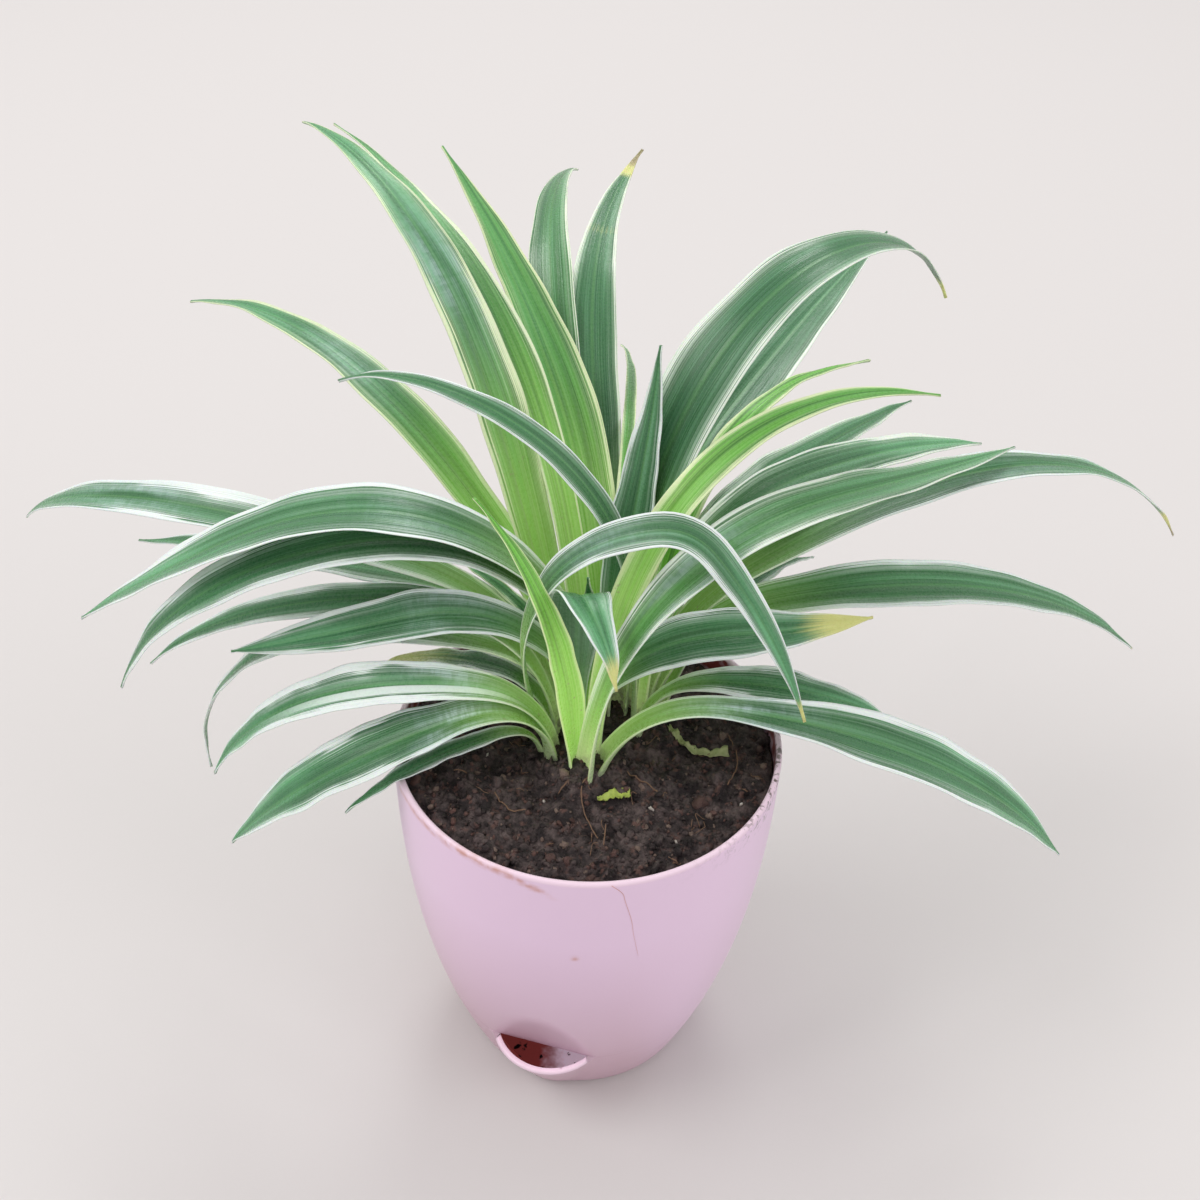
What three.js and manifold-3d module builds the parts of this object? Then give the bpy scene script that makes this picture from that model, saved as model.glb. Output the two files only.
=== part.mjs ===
// Potted spider plant in a self-watering pot. Millimetres, +Z up.
// Origin: centre of the pot's flat underside. The fill mouth faces -Y.
import * as THREE from 'three';
import { mergeVertices } from 'three/addons/utils/BufferGeometryUtils.js';
import Module from 'manifold-3d';

const wasm = await Module();
wasm.setup();

// ---------------------------------------------------------------- driving dimensions
const GAP = 0.3; // clearance between pieces that touch

const POT_HEIGHT = 141;
const RIM_RADIUS = 65;
const BASE_TAPER = 0.354; // share of the rim radius that the wall loses at the base
const TAPER_POWER = 2.4; // how late the wall starts to close in
const FOOT_ROUND = 3.5; // rounded edge between wall and underside
const WALL = 2;
const FLOOR = 2.2;
const POT_SEGMENTS = 60;
const RIM_EDGE_WIDTH = 0.7; // bevel on the rim's outer edge
const RIM_EDGE_DROP = 0.8;

const MOUTH_Z = 32; // level of the fill mouth's straight upper edge and of its lip
const MOUTH_Y = -49.2; // where that straight edge lies in front of the axis
const DENT_TOP_Z = 62; // top of the sloped recess above the mouth
const DENT_TOP_Y = -59.4;
const SCOOP_RADIUS = 20.4; // the lip's half circle
const SCOOP_Y = -40.6;
const SCOOP_FOOT_RADIUS = 15;
const SCOOP_FOOT_Y = -28.3;
const SCOOP_FOOT_Z = 0.9;
const SCOOP_WALL = 1.7;
const SCOOP_SEGMENTS = 40;
const DENT_OVERLAP = 0.1; // how far the recess's cut reaches below the lip's level
const DENT_CUT_REACH = 8; // how far it reaches above the recess

const PLATE_Z = 37; // underside of the false bottom
const PLATE_THICK = 2;
const PLATE_CLEARANCE = 0.35; // between the plate's edge and the narrowing wall
const PLATE_SEGMENTS = 48;
const WICK_RADIUS = 15; // soil-filled cup that stands in the water
const WICK_FOOT_RADIUS = 10;
const WICK_WALL = 1.6;
const DRAIN_HOLES = 10;
const DRAIN_RADIUS = 1.8;
const DRAIN_CIRCLE = 32;
const DRAIN_SEGMENTS = 8;

const SOIL_Z = 131; // soil level at the wall
const SOIL_MOUND = 1.5; // how much higher it stands in the middle
const SOIL_SEGMENTS = 48;

const ROOTSTOCK_DEPTH = 24;
const ROOTSTOCK_TAPER = 0.62; // foot radius over top radius
const SHOOT_SEGMENTS = 24;
const CUTTER_REACH = 6;
const SHOOTS = [
  { x: -3, y: -8, radius: 15 },
  { x: -10, y: 15, radius: 13.5 },
  { x: 9, y: 18, radius: 13.5 },
];

const LEAF_THICK = 0.8;
const LEAF_STATIONS = 15;
const LEAF_STRIPS = 4;
const LEAF_FOOT_Z = SOIL_Z + SOIL_MOUND + 0.5; // leaves start on top of the rootstock
const SHEATH_FOLD = 60; // degrees that each half of the channelled foot turns
const BLADE_FOLD = 15; // the same for the open blade
const TIP_HALF_WIDTH = 0.7;
const DROOP_POWER = 1.5;
const CREASE_SPAN = 0.12; // share of its length over which a blade is folded over

// One row a leaf: name, foot x and y, heading at the foot, turn of the heading at the tip,
// length, pitch at the foot, pitch past the bend, pitch at the tip, where the bend is,
// widest width, roll of the blade. Angles in degrees.
const LEAVES = [
  ['leaf_01', -11, 16, 144, 3, 242, 74, 52, -7, 0.42, 18.5, 0],
  ['leaf_02', -5.5, 19, 129, 22, 255, 79, 22, 9, 0.38, 11.5, -2],
  ['leaf_03', 0, 23.5, 118, 38, 211, 79, 32, 42, 0.31, 19.5, -2],
  ['leaf_04', -7, 24.5, 119, -28, 272, 71, 28, -23, 0.31, 16, -6],
  ['leaf_05', 2, 31.5, 120, -41, 230, 69, 14, 13, 0.44, 18, 7],
  ['leaf_06', 0.5, 21.5, 98, 13, 206, 85, -6, -24, 0.37, 4.5, 1],
  ['leaf_07', 1, 16.5, 66, -2, 139, 86, 73, 87, 0.43, 16.5, 0],
  ['leaf_08', 6, 21.5, 55, -5, 258, 88, 86, -63, 0.19, 25, 6],
  ['leaf_09', 6.5, 28.5, 79, -11, 253, 84, 7, 10, 0.25, 23.5, 8],
  ['leaf_10', 14.5, 16, 78, -30, 184, 88, 2, -10, 0.46, 9.5, -7],
  ['leaf_11', 4, -5.5, 58, -35, 197, 89, 29, -14, 0.42, 10.5, 34],
  ['leaf_12', 13.5, 28, 61, 2, 191, 86, 3, -10, 0.3, 17.5, 1],
  ['leaf_13', 11.5, 20, 55, -9, 209, 87, 1, -19, 0.3, 19, 5],
  ['leaf_14', 5, -17, 41, 17, 236, 89, -6, -11, 0.34, 19, 4],
  ['leaf_15', 14.5, 20, 40, -2, 285, 83, 25, -55, 0.14, 18.5, 4],
  ['leaf_16', 20, 23, 54, 2, 94, 79, 27, -25, 0.31, 11.5, -13],
  ['leaf_17', 16.5, 20.5, 33, -3, 237, 83, 3, -45, 0.16, 21.5, 9],
  ['leaf_18', 0.5, 0, 21, 5, 123, 89, -5, 8, 0.34, 18, 31],
  ['leaf_19', -12, -2, 10, -25, 200, 110, 14, -18, 0.36, 11, 33],
  ['leaf_20', 7, -13, 19, -3, 205, 75, -10, -53, 0.16, 23.5, 10],
  ['leaf_21', 15.5, 11, 19, -3, 113, 88, 0, -38, 0.19, 15, 12],
  ['leaf_22', -2, -7, 294, 22, 108, 100, 84, -10, 0.49, 18, -12],
  ['leaf_23', 0, -14.5, 160, -1, 109, 83, 88, 30, 0.11, 11, -14],
  ['leaf_24', 12, 14.5, 202, -39, 195, 89, 89, -32, 0.17, 9, -32],
  ['leaf_25', -12.5, 20.5, 156, 7, 225, 74, 48, -21, 0.16, 17.5, 0],
  ['leaf_26', -15, 14, 188, -38, 266, 79, 17, -44, 0.17, 15.5, -21],
  ['leaf_27', -3, 14.5, 199, -21, 248, 85, -25, -42, 0.37, 21.5, -6],
  ['leaf_28', -7, 13.5, 200, -9, 233, 89, 2, -68, 0.29, 19.5, -13],
  ['leaf_29', -18, 13.5, 170, 1, 204, 83, -7, -18, 0.2, 18.5, -5],
  ['leaf_30', -11.5, 2, 180, -3, 205, 84, -9, -49, 0.23, 11, -39],
  ['leaf_31', -6, 8, 191, 10, 149, 88, -21, -10, 0.33, 16.5, -30],
  ['leaf_32', -12, 7.5, 190, 0, 193, 83, 17, -98, 0.14, 15.5, -4],
  ['leaf_33', -10, -8.5, 194, 2, 152, 86, 10, -67, 0.17, 17.5, -14],
  ['leaf_34', -11.5, -10, 209, -18, 143, 89, -14, -56, 0.18, 22, -11],
  ['leaf_35', -14, -7.5, 219, -6, 81, 80, -1, -42, 0.18, 8, 1],
  ['leaf_36', -14, 3, 176, 13, 82, 87, 8, -33, 0.25, 11, 9],
  ['leaf_37', -7.5, 7, 156, -4, 83, 86, 7, -2, 0.45, 6, -7],
  ['leaf_38', -2.5, 3.5, 91, -5, 71, 80, 86, 102, 0.22, 9, -1],
];
// Where along its length a blade is widest, the power of its taper from there to the tip, a
// further twist towards the tip, the width of its foot over its widest width, where that
// stalk starts to open, and, where a blade is folded over, the place and the degrees of its
// kink. Leaves that aren't named here have the plain form.
const PLAIN_FORM = {
  widest: 0.52,
  taper: 1.7,
  twist: 0,
  petiole: 0.36,
  stalk: 0,
  crease: 0.6,
  kink: 0,
};
const FORMS = {
  leaf_01: { petiole: 0.5 },
  leaf_02: { taper: 1.3 },
  leaf_03: { petiole: 0.5 },
  leaf_04: { taper: 1.9 },
  leaf_08: { taper: 1.5 },
  leaf_11: { petiole: 0.7 },
  leaf_13: { widest: 0.6, taper: 2.2 },
  leaf_14: { petiole: 0.5, stalk: 0.15 },
  leaf_15: { taper: 1.3 },
  leaf_17: { taper: 1.4, twist: 12 },
  leaf_18: { widest: 0.55, stalk: 0.15 },
  leaf_19: { widest: 0.6, twist: 27, petiole: 0.26, crease: 0.63, kink: -51 },
  leaf_20: { widest: 0.6, twist: 10, petiole: 0.38, stalk: 0.22 },
  leaf_21: { stalk: 0.18 },
  leaf_22: { widest: 0.62, taper: 1.4, stalk: 0.2, crease: 0.66, kink: -62 },
  leaf_23: { widest: 0.35, taper: 1.2, petiole: 0.8 },
  leaf_25: { petiole: 0.5 },
  leaf_26: { widest: 0.6, twist: -10 },
  leaf_27: { twist: -8 },
  leaf_28: { widest: 0.6, twist: -9 },
  leaf_30: { twist: -12 },
  leaf_31: { widest: 0.6, twist: -10, petiole: 0.3, stalk: 0.1 },
  leaf_32: { taper: 1.2 },
  leaf_33: { petiole: 0.45, stalk: 0.12 },
  leaf_34: { widest: 0.58, petiole: 0.45, stalk: 0.15 },
};

// ---------------------------------------------------------------- helpers
const radians = THREE.MathUtils.degToRad;
const mix = THREE.MathUtils.lerp;
const smooth = (t) => THREE.MathUtils.smoothstep(t, 0, 1);

// Closed geometry with its positions merged, as a solid for joining and cutting.
function solidOf(geometry) {
  const bare = geometry.clone();
  bare.deleteAttribute('normal');
  bare.deleteAttribute('uv');
  const merged = mergeVertices(bare, 1e-4);
  const mesh = new wasm.Mesh({
    numProp: 3,
    vertProperties: new Float32Array(merged.attributes.position.array),
    triVerts: new Uint32Array(merged.index.array),
  });
  return new wasm.Manifold(mesh);
}

function geometryOf(solid) {
  const mesh = solid.getMesh();
  const geometry = new THREE.BufferGeometry();
  geometry.setAttribute('position', new THREE.BufferAttribute(mesh.vertProperties.slice(), 3));
  geometry.setIndex(new THREE.BufferAttribute(mesh.triVerts.slice(), 1));
  geometry.computeVertexNormals();
  return geometry;
}

// Solid of revolution about +Z from [radius, z] pairs that start and end on the axis.
function turned(profile, segments = POT_SEGMENTS) {
  const points = profile.map(([radius, z]) => new THREE.Vector2(radius, z));
  return new THREE.LatheGeometry(points, segments).rotateX(Math.PI / 2);
}

// Upright tapered round solid whose two ends may stand over different points.
function leaningCone(foot, top, segments) {
  const geometry = new THREE.CylinderGeometry(top.radius, foot.radius, top.z - foot.z, segments);
  geometry.rotateX(Math.PI / 2);
  const position = geometry.attributes.position;
  for (let i = 0; i < position.count; i += 1) {
    const share = position.getZ(i) / (top.z - foot.z) + 0.5;
    position.setX(i, position.getX(i) + mix(foot.x, top.x, share));
    position.setY(i, position.getY(i) + mix(foot.y, top.y, share));
    position.setZ(i, mix(foot.z, top.z, share));
  }
  return geometry;
}

// Prism across X from [y, z] corners.
function prism(corners, halfWidth) {
  const outline = new THREE.Shape(corners.map(([y, z]) => new THREE.Vector2(y, z)));
  const geometry = new THREE.ExtrudeGeometry(outline, { depth: 2 * halfWidth, bevelEnabled: false });
  geometry.translate(0, 0, -halfWidth);
  return geometry.applyMatrix4(new THREE.Matrix4().set(
    0, 0, 1, 0,
    1, 0, 0, 0,
    0, 1, 0, 0,
    0, 0, 0, 1,
  ));
}

function part(name, geometry, colour, roughness) {
  const material = new THREE.MeshStandardMaterial({ color: colour, roughness, metalness: 0 });
  const mesh = new THREE.Mesh(geometry, material);
  mesh.name = name;
  return mesh;
}

// ---------------------------------------------------------------- pot
// Outer radius of the pot's wall at height z.
function potRadius(z) {
  return RIM_RADIUS * (1 - BASE_TAPER * (1 - z / POT_HEIGHT) ** TAPER_POWER);
}

// y of the sloped recess above the mouth at height z.
function dentY(z) {
  return mix(MOUTH_Y, DENT_TOP_Y, (z - MOUTH_Z) / (DENT_TOP_Z - MOUTH_Z));
}

function wallProfile(inset, zFrom, zTo, steps) {
  const rows = [];
  for (let i = 0; i <= steps; i += 1) {
    const z = mix(zFrom, zTo, i / steps);
    rows.push([potRadius(z) - inset, z]);
  }
  return rows;
}

function scoop(inset, footZ) {
  const foot = { x: 0, y: SCOOP_FOOT_Y, z: footZ, radius: SCOOP_FOOT_RADIUS - inset };
  const top = { x: 0, y: SCOOP_Y, z: MOUTH_Z, radius: SCOOP_RADIUS - inset };
  return leaningCone(foot, top, SCOOP_SEGMENTS);
}

// Everything in front of the recess's plane, moved back by inset, above the mouth.
function inFrontOfDent(inset, zFrom) {
  const zTo = DENT_TOP_Z + DENT_CUT_REACH;
  const corners = [
    [dentY(zFrom) + inset, zFrom],
    [-2 * RIM_RADIUS, zFrom],
    [-2 * RIM_RADIUS, zTo],
    [dentY(zTo) + inset, zTo],
  ];
  return prism(corners, RIM_RADIUS);
}

function potSolid() {
  const foot = potRadius(FOOT_ROUND);
  const outer = [
    [0, 0],
    [foot - FOOT_ROUND, 0],
    [foot - 0.3 * FOOT_ROUND, 0.3 * FOOT_ROUND],
    ...wallProfile(0, FOOT_ROUND, POT_HEIGHT - RIM_EDGE_DROP, 10),
    [RIM_RADIUS - RIM_EDGE_WIDTH, POT_HEIGHT],
    [0, POT_HEIGHT],
  ];
  const inner = [
    [0, FLOOR],
    [potRadius(FLOOR) - WALL - 2, FLOOR],
    ...wallProfile(WALL, FLOOR + 2, POT_HEIGHT, 9),
    [potRadius(POT_HEIGHT) - WALL, POT_HEIGHT + 1],
    [0, POT_HEIGHT + 1],
  ];
  const hollow = solidOf(turned(inner)).subtract(solidOf(inFrontOfDent(WALL, MOUTH_Z)));
  return solidOf(turned(outer))
    .add(solidOf(scoop(0, SCOOP_FOOT_Z)))
    .subtract(solidOf(inFrontOfDent(0, MOUTH_Z - DENT_OVERLAP)))
    .subtract(hollow)
    .subtract(solidOf(scoop(SCOOP_WALL, FLOOR)));
}

// ---------------------------------------------------------------- false bottom
// Perforated plate on the narrowing wall, with a soil-filled cup down to the water.
function falseBottomSolid() {
  const plateTop = PLATE_Z + PLATE_THICK;
  const edge = potRadius(PLATE_Z) - WALL - PLATE_CLEARANCE;
  const wickTop = WICK_RADIUS - WICK_WALL;
  const wickFoot = WICK_FOOT_RADIUS - WICK_WALL;
  const footZ = FLOOR + GAP;
  let plate = solidOf(turned([
    [0, footZ],
    [WICK_FOOT_RADIUS, footZ],
    [WICK_RADIUS, PLATE_Z],
    [edge, PLATE_Z],
    [edge, plateTop],
    [wickTop, plateTop],
    [wickFoot, footZ + WICK_WALL],
    [0, footZ + WICK_WALL],
  ], PLATE_SEGMENTS));
  plate = plate.subtract(solidOf(inFrontOfDent(WALL + GAP, MOUTH_Z)));
  for (let i = 0; i < DRAIN_HOLES; i += 1) {
    const angle = (i + 0.5) * 2 * Math.PI / DRAIN_HOLES;
    const hole = new THREE.CylinderGeometry(
      DRAIN_RADIUS,
      DRAIN_RADIUS,
      3 * PLATE_THICK,
      DRAIN_SEGMENTS,
    );
    hole.rotateX(Math.PI / 2);
    hole.translate(DRAIN_CIRCLE * Math.cos(angle), DRAIN_CIRCLE * Math.sin(angle), PLATE_Z);
    plate = plate.subtract(solidOf(hole));
  }
  return plate;
}

// ---------------------------------------------------------------- soil and rootstock
// Clump of short, thick shoots that narrow downwards. The cutter for the hole that they stand
// in keeps clear of them all round and carries the same taper on past the soil's top.
function rootstockSolid(clear = 0) {
  const topZ = LEAF_FOOT_Z - GAP;
  const footZ = topZ - ROOTSTOCK_DEPTH;
  const past = clear > 0 ? CUTTER_REACH : 0;
  const shoots = SHOOTS.map(({ x, y, radius }) => {
    const slope = radius * (1 - ROOTSTOCK_TAPER) / ROOTSTOCK_DEPTH;
    const footRadius = radius * ROOTSTOCK_TAPER - slope * clear + clear;
    const topRadius = radius + slope * past + clear;
    const foot = { x, y, z: footZ - clear, radius: footRadius };
    const top = { x, y, z: topZ + past, radius: topRadius };
    return solidOf(leaningCone(foot, top, SHOOT_SEGMENTS));
  });
  return shoots.reduce((clump, shoot) => clump.add(shoot));
}

function soilSolid() {
  const bottomZ = PLATE_Z + PLATE_THICK + GAP;
  const side = wallProfile(WALL + GAP, bottomZ, SOIL_Z, 7);
  const wickTop = WICK_RADIUS - WICK_WALL - GAP;
  const wickFoot = WICK_FOOT_RADIUS - WICK_WALL - GAP;
  const soil = solidOf(turned([
    [0, FLOOR + 2 * GAP + WICK_WALL],
    [wickFoot, FLOOR + 2 * GAP + WICK_WALL],
    [wickTop, bottomZ],
    ...side,
    [0.6 * RIM_RADIUS, SOIL_Z + 0.7 * SOIL_MOUND],
    [0.2 * RIM_RADIUS, SOIL_Z + SOIL_MOUND],
    [0, SOIL_Z + SOIL_MOUND],
  ], SOIL_SEGMENTS));
  return soil
    .subtract(solidOf(inFrontOfDent(WALL + GAP, MOUTH_Z)))
    .subtract(rootstockSolid(GAP));
}

// ---------------------------------------------------------------- leaves
// Foot, heading and pitch walk a leaf's midrib; the pitch eases from rise to level around
// the bend and then droops to fall, with a kink at a crease where the blade is folded over, and
// the heading turns with the square of the way.
function pitchAt(row, u) {
  const [name, , , , , , rise, level, fall, bend] = row;
  const { crease, kink } = formOf(name);
  const eased = smooth(u / (2 * bend));
  const drooped = Math.max(0, (u - bend) / (1 - bend)) ** DROOP_POWER;
  const kinked = smooth((u - crease) / CREASE_SPAN + 0.5);
  return radians(rise + (level - rise) * eased + (fall - level) * drooped + kink * kinked);
}

function formOf(name) {
  return { ...PLAIN_FORM, ...FORMS[name] };
}

function midrib(row) {
  const [, x, y, azimuth, turn, length] = row;
  const stepsEach = 6;
  const at = new THREE.Vector3(x, y, LEAF_FOOT_Z);
  const stations = [];
  let walked = 0;
  for (let i = 0; i < LEAF_STATIONS; i += 1) {
    const t = i / (LEAF_STATIONS - 1);
    const goal = t * (0.8 + 0.2 * t);
    const stride = (goal - walked) / stepsEach;
    for (let k = 0; k < stepsEach; k += 1) {
      const u = walked + (k + 0.5) * stride;
      const pitch = pitchAt(row, u);
      const heading = radians(azimuth + turn * u * u);
      at.x += stride * length * Math.cos(pitch) * Math.cos(heading);
      at.y += stride * length * Math.cos(pitch) * Math.sin(heading);
      at.z += stride * length * Math.sin(pitch);
    }
    walked = goal;
    const pitch = pitchAt(row, goal);
    const heading = radians(azimuth + turn * goal * goal);
    stations.push({ u: goal, point: at.clone(), pitch, heading });
  }
  return stations;
}

// Channelled blade of even thickness along the midrib: narrow folded foot, open middle,
// pointed tip. Both faces are split into triangles alike.
function leafGeometry(row) {
  const [name, , , , , , , , , , width, roll] = row;
  const { widest, taper, twist, petiole, stalk } = formOf(name);
  const across = LEAF_STRIPS + 1;
  const ring = 2 * across;
  const positions = [];
  midrib(row).forEach(({ u, point, pitch, heading }) => {
    const along = new THREE.Vector3(
      Math.cos(pitch) * Math.cos(heading),
      Math.cos(pitch) * Math.sin(heading),
      Math.sin(pitch),
    );
    const side = new THREE.Vector3(-Math.sin(heading), Math.cos(heading), 0);
    side.applyAxisAngle(along, radians(roll * smooth(u / 0.4) + twist * u * u));
    const up = new THREE.Vector3().crossVectors(along, side);
    const opening = petiole + (1 - petiole) * smooth((u - stalk) / (widest - stalk));
    const closing = 1 - Math.max(0, (u - widest) / (1 - widest)) ** taper;
    const half = Math.max(TIP_HALF_WIDTH, 0.5 * width * opening * closing);
    const fold = radians(mix(SHEATH_FOLD, BLADE_FOLD, smooth(u / 0.35)));
    [0.5, -0.5].forEach((face) => {
      for (let j = 0; j < across; j += 1) {
        const angle = fold * (2 * j / LEAF_STRIPS - 1);
        const outward = half * Math.sin(angle) / fold;
        const lift = half * (1 - Math.cos(angle)) / fold;
        const vertex = point.clone()
          .addScaledVector(side, outward - face * LEAF_THICK * Math.sin(angle))
          .addScaledVector(up, lift + face * LEAF_THICK * Math.cos(angle));
        positions.push(vertex.x, vertex.y, vertex.z);
      }
    });
  });
  const index = [];
  const quad = (a, b, c, d) => index.push(a, b, c, a, c, d);
  for (let i = 0; i + 1 < LEAF_STATIONS; i += 1) {
    const here = i * ring;
    const next = here + ring;
    for (let j = 0; j < LEAF_STRIPS; j += 1) {
      quad(here + j, next + j, next + j + 1, here + j + 1);
      const [a, b] = [here + across + j, next + across + j];
      index.push(a, b + 1, b, a, a + 1, b + 1);
    }
    quad(here + LEAF_STRIPS, next + LEAF_STRIPS, next + ring - 1, here + ring - 1);
    quad(here + across, next + across, next, here);
  }
  const last = (LEAF_STATIONS - 1) * ring;
  for (let j = 0; j < LEAF_STRIPS; j += 1) {
    quad(j, j + 1, across + j + 1, across + j);
    quad(last + j, last + across + j, last + across + j + 1, last + j + 1);
  }
  const geometry = new THREE.BufferGeometry();
  geometry.setAttribute('position', new THREE.BufferAttribute(new Float32Array(positions), 3));
  geometry.setIndex(index);
  geometry.computeVertexNormals();
  return geometry;
}

// ---------------------------------------------------------------- assembly
const plant = new THREE.Group();
plant.add(part('pot', geometryOf(potSolid()), '#dcbed7', 0.4));
plant.add(part('false_bottom', geometryOf(falseBottomSolid()), '#a85c66', 0.5));
plant.add(part('soil', geometryOf(soilSolid()), '#33241f', 0.95));
plant.add(part('rootstock', geometryOf(rootstockSolid()), '#b9c48a', 0.7));
LEAVES.forEach((row) => {
  plant.add(part(row[0], leafGeometry(row), '#4f8a4b', 0.45));
});

export default plant;
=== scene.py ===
import math

import bpy
import numpy as np
from mathutils import Matrix, Vector


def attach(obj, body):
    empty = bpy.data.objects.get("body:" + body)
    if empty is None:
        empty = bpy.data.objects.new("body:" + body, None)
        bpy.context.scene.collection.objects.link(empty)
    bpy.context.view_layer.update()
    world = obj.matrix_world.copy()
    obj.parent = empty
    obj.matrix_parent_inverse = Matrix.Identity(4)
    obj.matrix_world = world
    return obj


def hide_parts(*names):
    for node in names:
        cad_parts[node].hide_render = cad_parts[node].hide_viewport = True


bl_info = {
    "name": "Potted spider plant",
    "version": (1, 0, 0),
    "blender": (4, 5, 0),
    "location": "View3D > Sidebar > Spider plant",
    "description": "Builds the leaves, soil and self-watering pot over the packed frame",
    "category": "Add Mesh",
}

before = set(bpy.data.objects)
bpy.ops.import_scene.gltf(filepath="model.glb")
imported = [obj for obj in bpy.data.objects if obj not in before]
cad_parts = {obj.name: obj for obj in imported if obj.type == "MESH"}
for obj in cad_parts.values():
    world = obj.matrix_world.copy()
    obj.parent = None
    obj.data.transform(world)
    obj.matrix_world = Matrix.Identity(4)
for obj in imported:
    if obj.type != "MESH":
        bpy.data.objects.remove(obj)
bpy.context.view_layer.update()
MM = 0.001

# ---------------------------------------------------------------- driving dimensions, mm
POT_HEIGHT = 141
RIM_RADIUS = 65
BASE_TAPER = 0.354
TAPER_POWER = 2.4
FOOT_ROUND = 3.5
WALL = 2
FLOOR = 2.2

MOUTH_Z = 32
MOUTH_Y = -49.2
DENT_TOP_Z = 62
DENT_TOP_Y = -59.4
SCOOP_RADIUS = 20.4
SCOOP_Y = -40.6
SCOOP_FOOT_RADIUS = 15
SCOOP_FOOT_Y = -28.3
SCOOP_FOOT_Z = 0.9
SCOOP_WALL = 1.7
LIP_BEAD = 0.9
MOUTH_GAP = 0.35
MOUTH_CORNER = math.radians(20)
MOUTH_SPREAD = math.radians(36)
RECESS_END_Z = 66
BASE_RINGS = (12.0, 24.0, 34.0)

SOIL_Z = 131
SOIL_MOUND = 1.5
SOIL_UNDER = 110.0
LEAF_FOOT_Z = SOIL_Z + SOIL_MOUND + 0.5

SHEATH_FOLD = math.radians(60)
BLADE_FOLD = math.radians(15)
TIP_HALF_WIDTH = 0.5
DROOP_POWER = 1.5
CREASE_SPAN = 0.12

# Points along and across a leaf and strides along its midrib, rows up and columns round the pot,
# rings and spokes of the soil.
LEAF_STATIONS, LEAF_COLUMNS, STRIDES = 84, 25, 900
ROUND_ROWS, LOW_ROWS, RECESS_ROWS, HIGH_ROWS = 9, 34, 44, 56
FRONT_COLUMNS, BACK_COLUMNS = 145, 181
SOIL_RINGS, SOIL_SPOKES = 104, 220

CAMERA_PLACE = (83.9, -327.3, 470.3)
CAMERA_AZIMUTH = math.radians(14)
CAMERA_DROP = math.radians(38.82)
CAMERA_ROLL = math.radians(2.2)
CAMERA_LENS = 42
CAMERA_SENSOR = 36

# ---------------------------------------------------------------- light and floor, m
LIGHT_TARGET = (0.0, 0.03, 0.15)
WORLD_COLOUR = (228, 225, 224)
WORLD_STRENGTH = 0.92
FLOOR_REACH = 6.0
# Name, place, size, power and colour.
LIGHTS = (
    ("key", (-1.9, -0.9, 2.8), 1.9, 36.0, (1.0, 0.99, 0.98)),
    ("fill", (2.6, -0.3, 1.7), 2.0, 14.0, (0.98, 0.99, 1.0)),
    ("back", (-0.3, 1.9, 2.7), 1.2, 26.0, (1.0, 1.0, 1.0)),
)

# ---------------------------------------------------------------- soil and small things, mm
# Middle and spread of the shoots that the leaves grow from.
SHOOT_CENTRES = ((-3, -8, 15), (-10, 15, 13.5), (9, 18, 13.5))
# Middle, spread and height of the soil that is heaped against the front stalks.
FRONT_HEAP = (4.5, -16.5, 11, 6.5)
# Size, height and seed of the lumps in the soil's top.
SOIL_LUMPS = ((19.0, 1.5, 3), (9.0, 1.4, 4), (4.2, 1.2, 5), (2.0, 0.8, 6), (1.1, 0.45, 7))
CLODS = 150
FIBRES = 46
ROOT_RADIUS = 0.2
FIBRE_RADIUS = 0.11
SPECK_SIZE = 0.8
# x and y on the soil; most of them lie near where the photograph shows such a thing.
WHITE_SPECKS = ((-6.5, -29.2), (27.6, -22.7), (55, -11.3), (-31, -14), (38, -31))
SOIL_ROOTS = (
    ((6.2, -20.1), (4.7, -23.8), (5.9, -27.9), (10.2, -33.7), (14, -37.8)),
    ((-23, -30), (-15.5, -36), (-11, -34.6)),
    ((16.5, -11), (20.3, -13.9), (24.3, -13.5), (27.9, -15.8)),
    ((15, -32), (16.5, -40)),
    ((-38.5, -26), (-34.5, -24.6)),
    ((44, 20), (50, 8), (49, -4)),
)
SCRAP = ((10.3, -25.2), (13.9, -22.8), (17.1, -20.8), (19.8, -19.8))
CRINKLED_SCRAP = ((23.8, 17.5), (27.6, 13.2), (31.3, 10.4), (35.9, 9.4), (40.4, 9.2), (46.3, 11))
# Degrees round from the mouth and height on the wall.
WALL_ROOT = ((22, 140.5), (25, 136.5), (26, 132), (28, 123), (29, 115), (31, 103))

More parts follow.
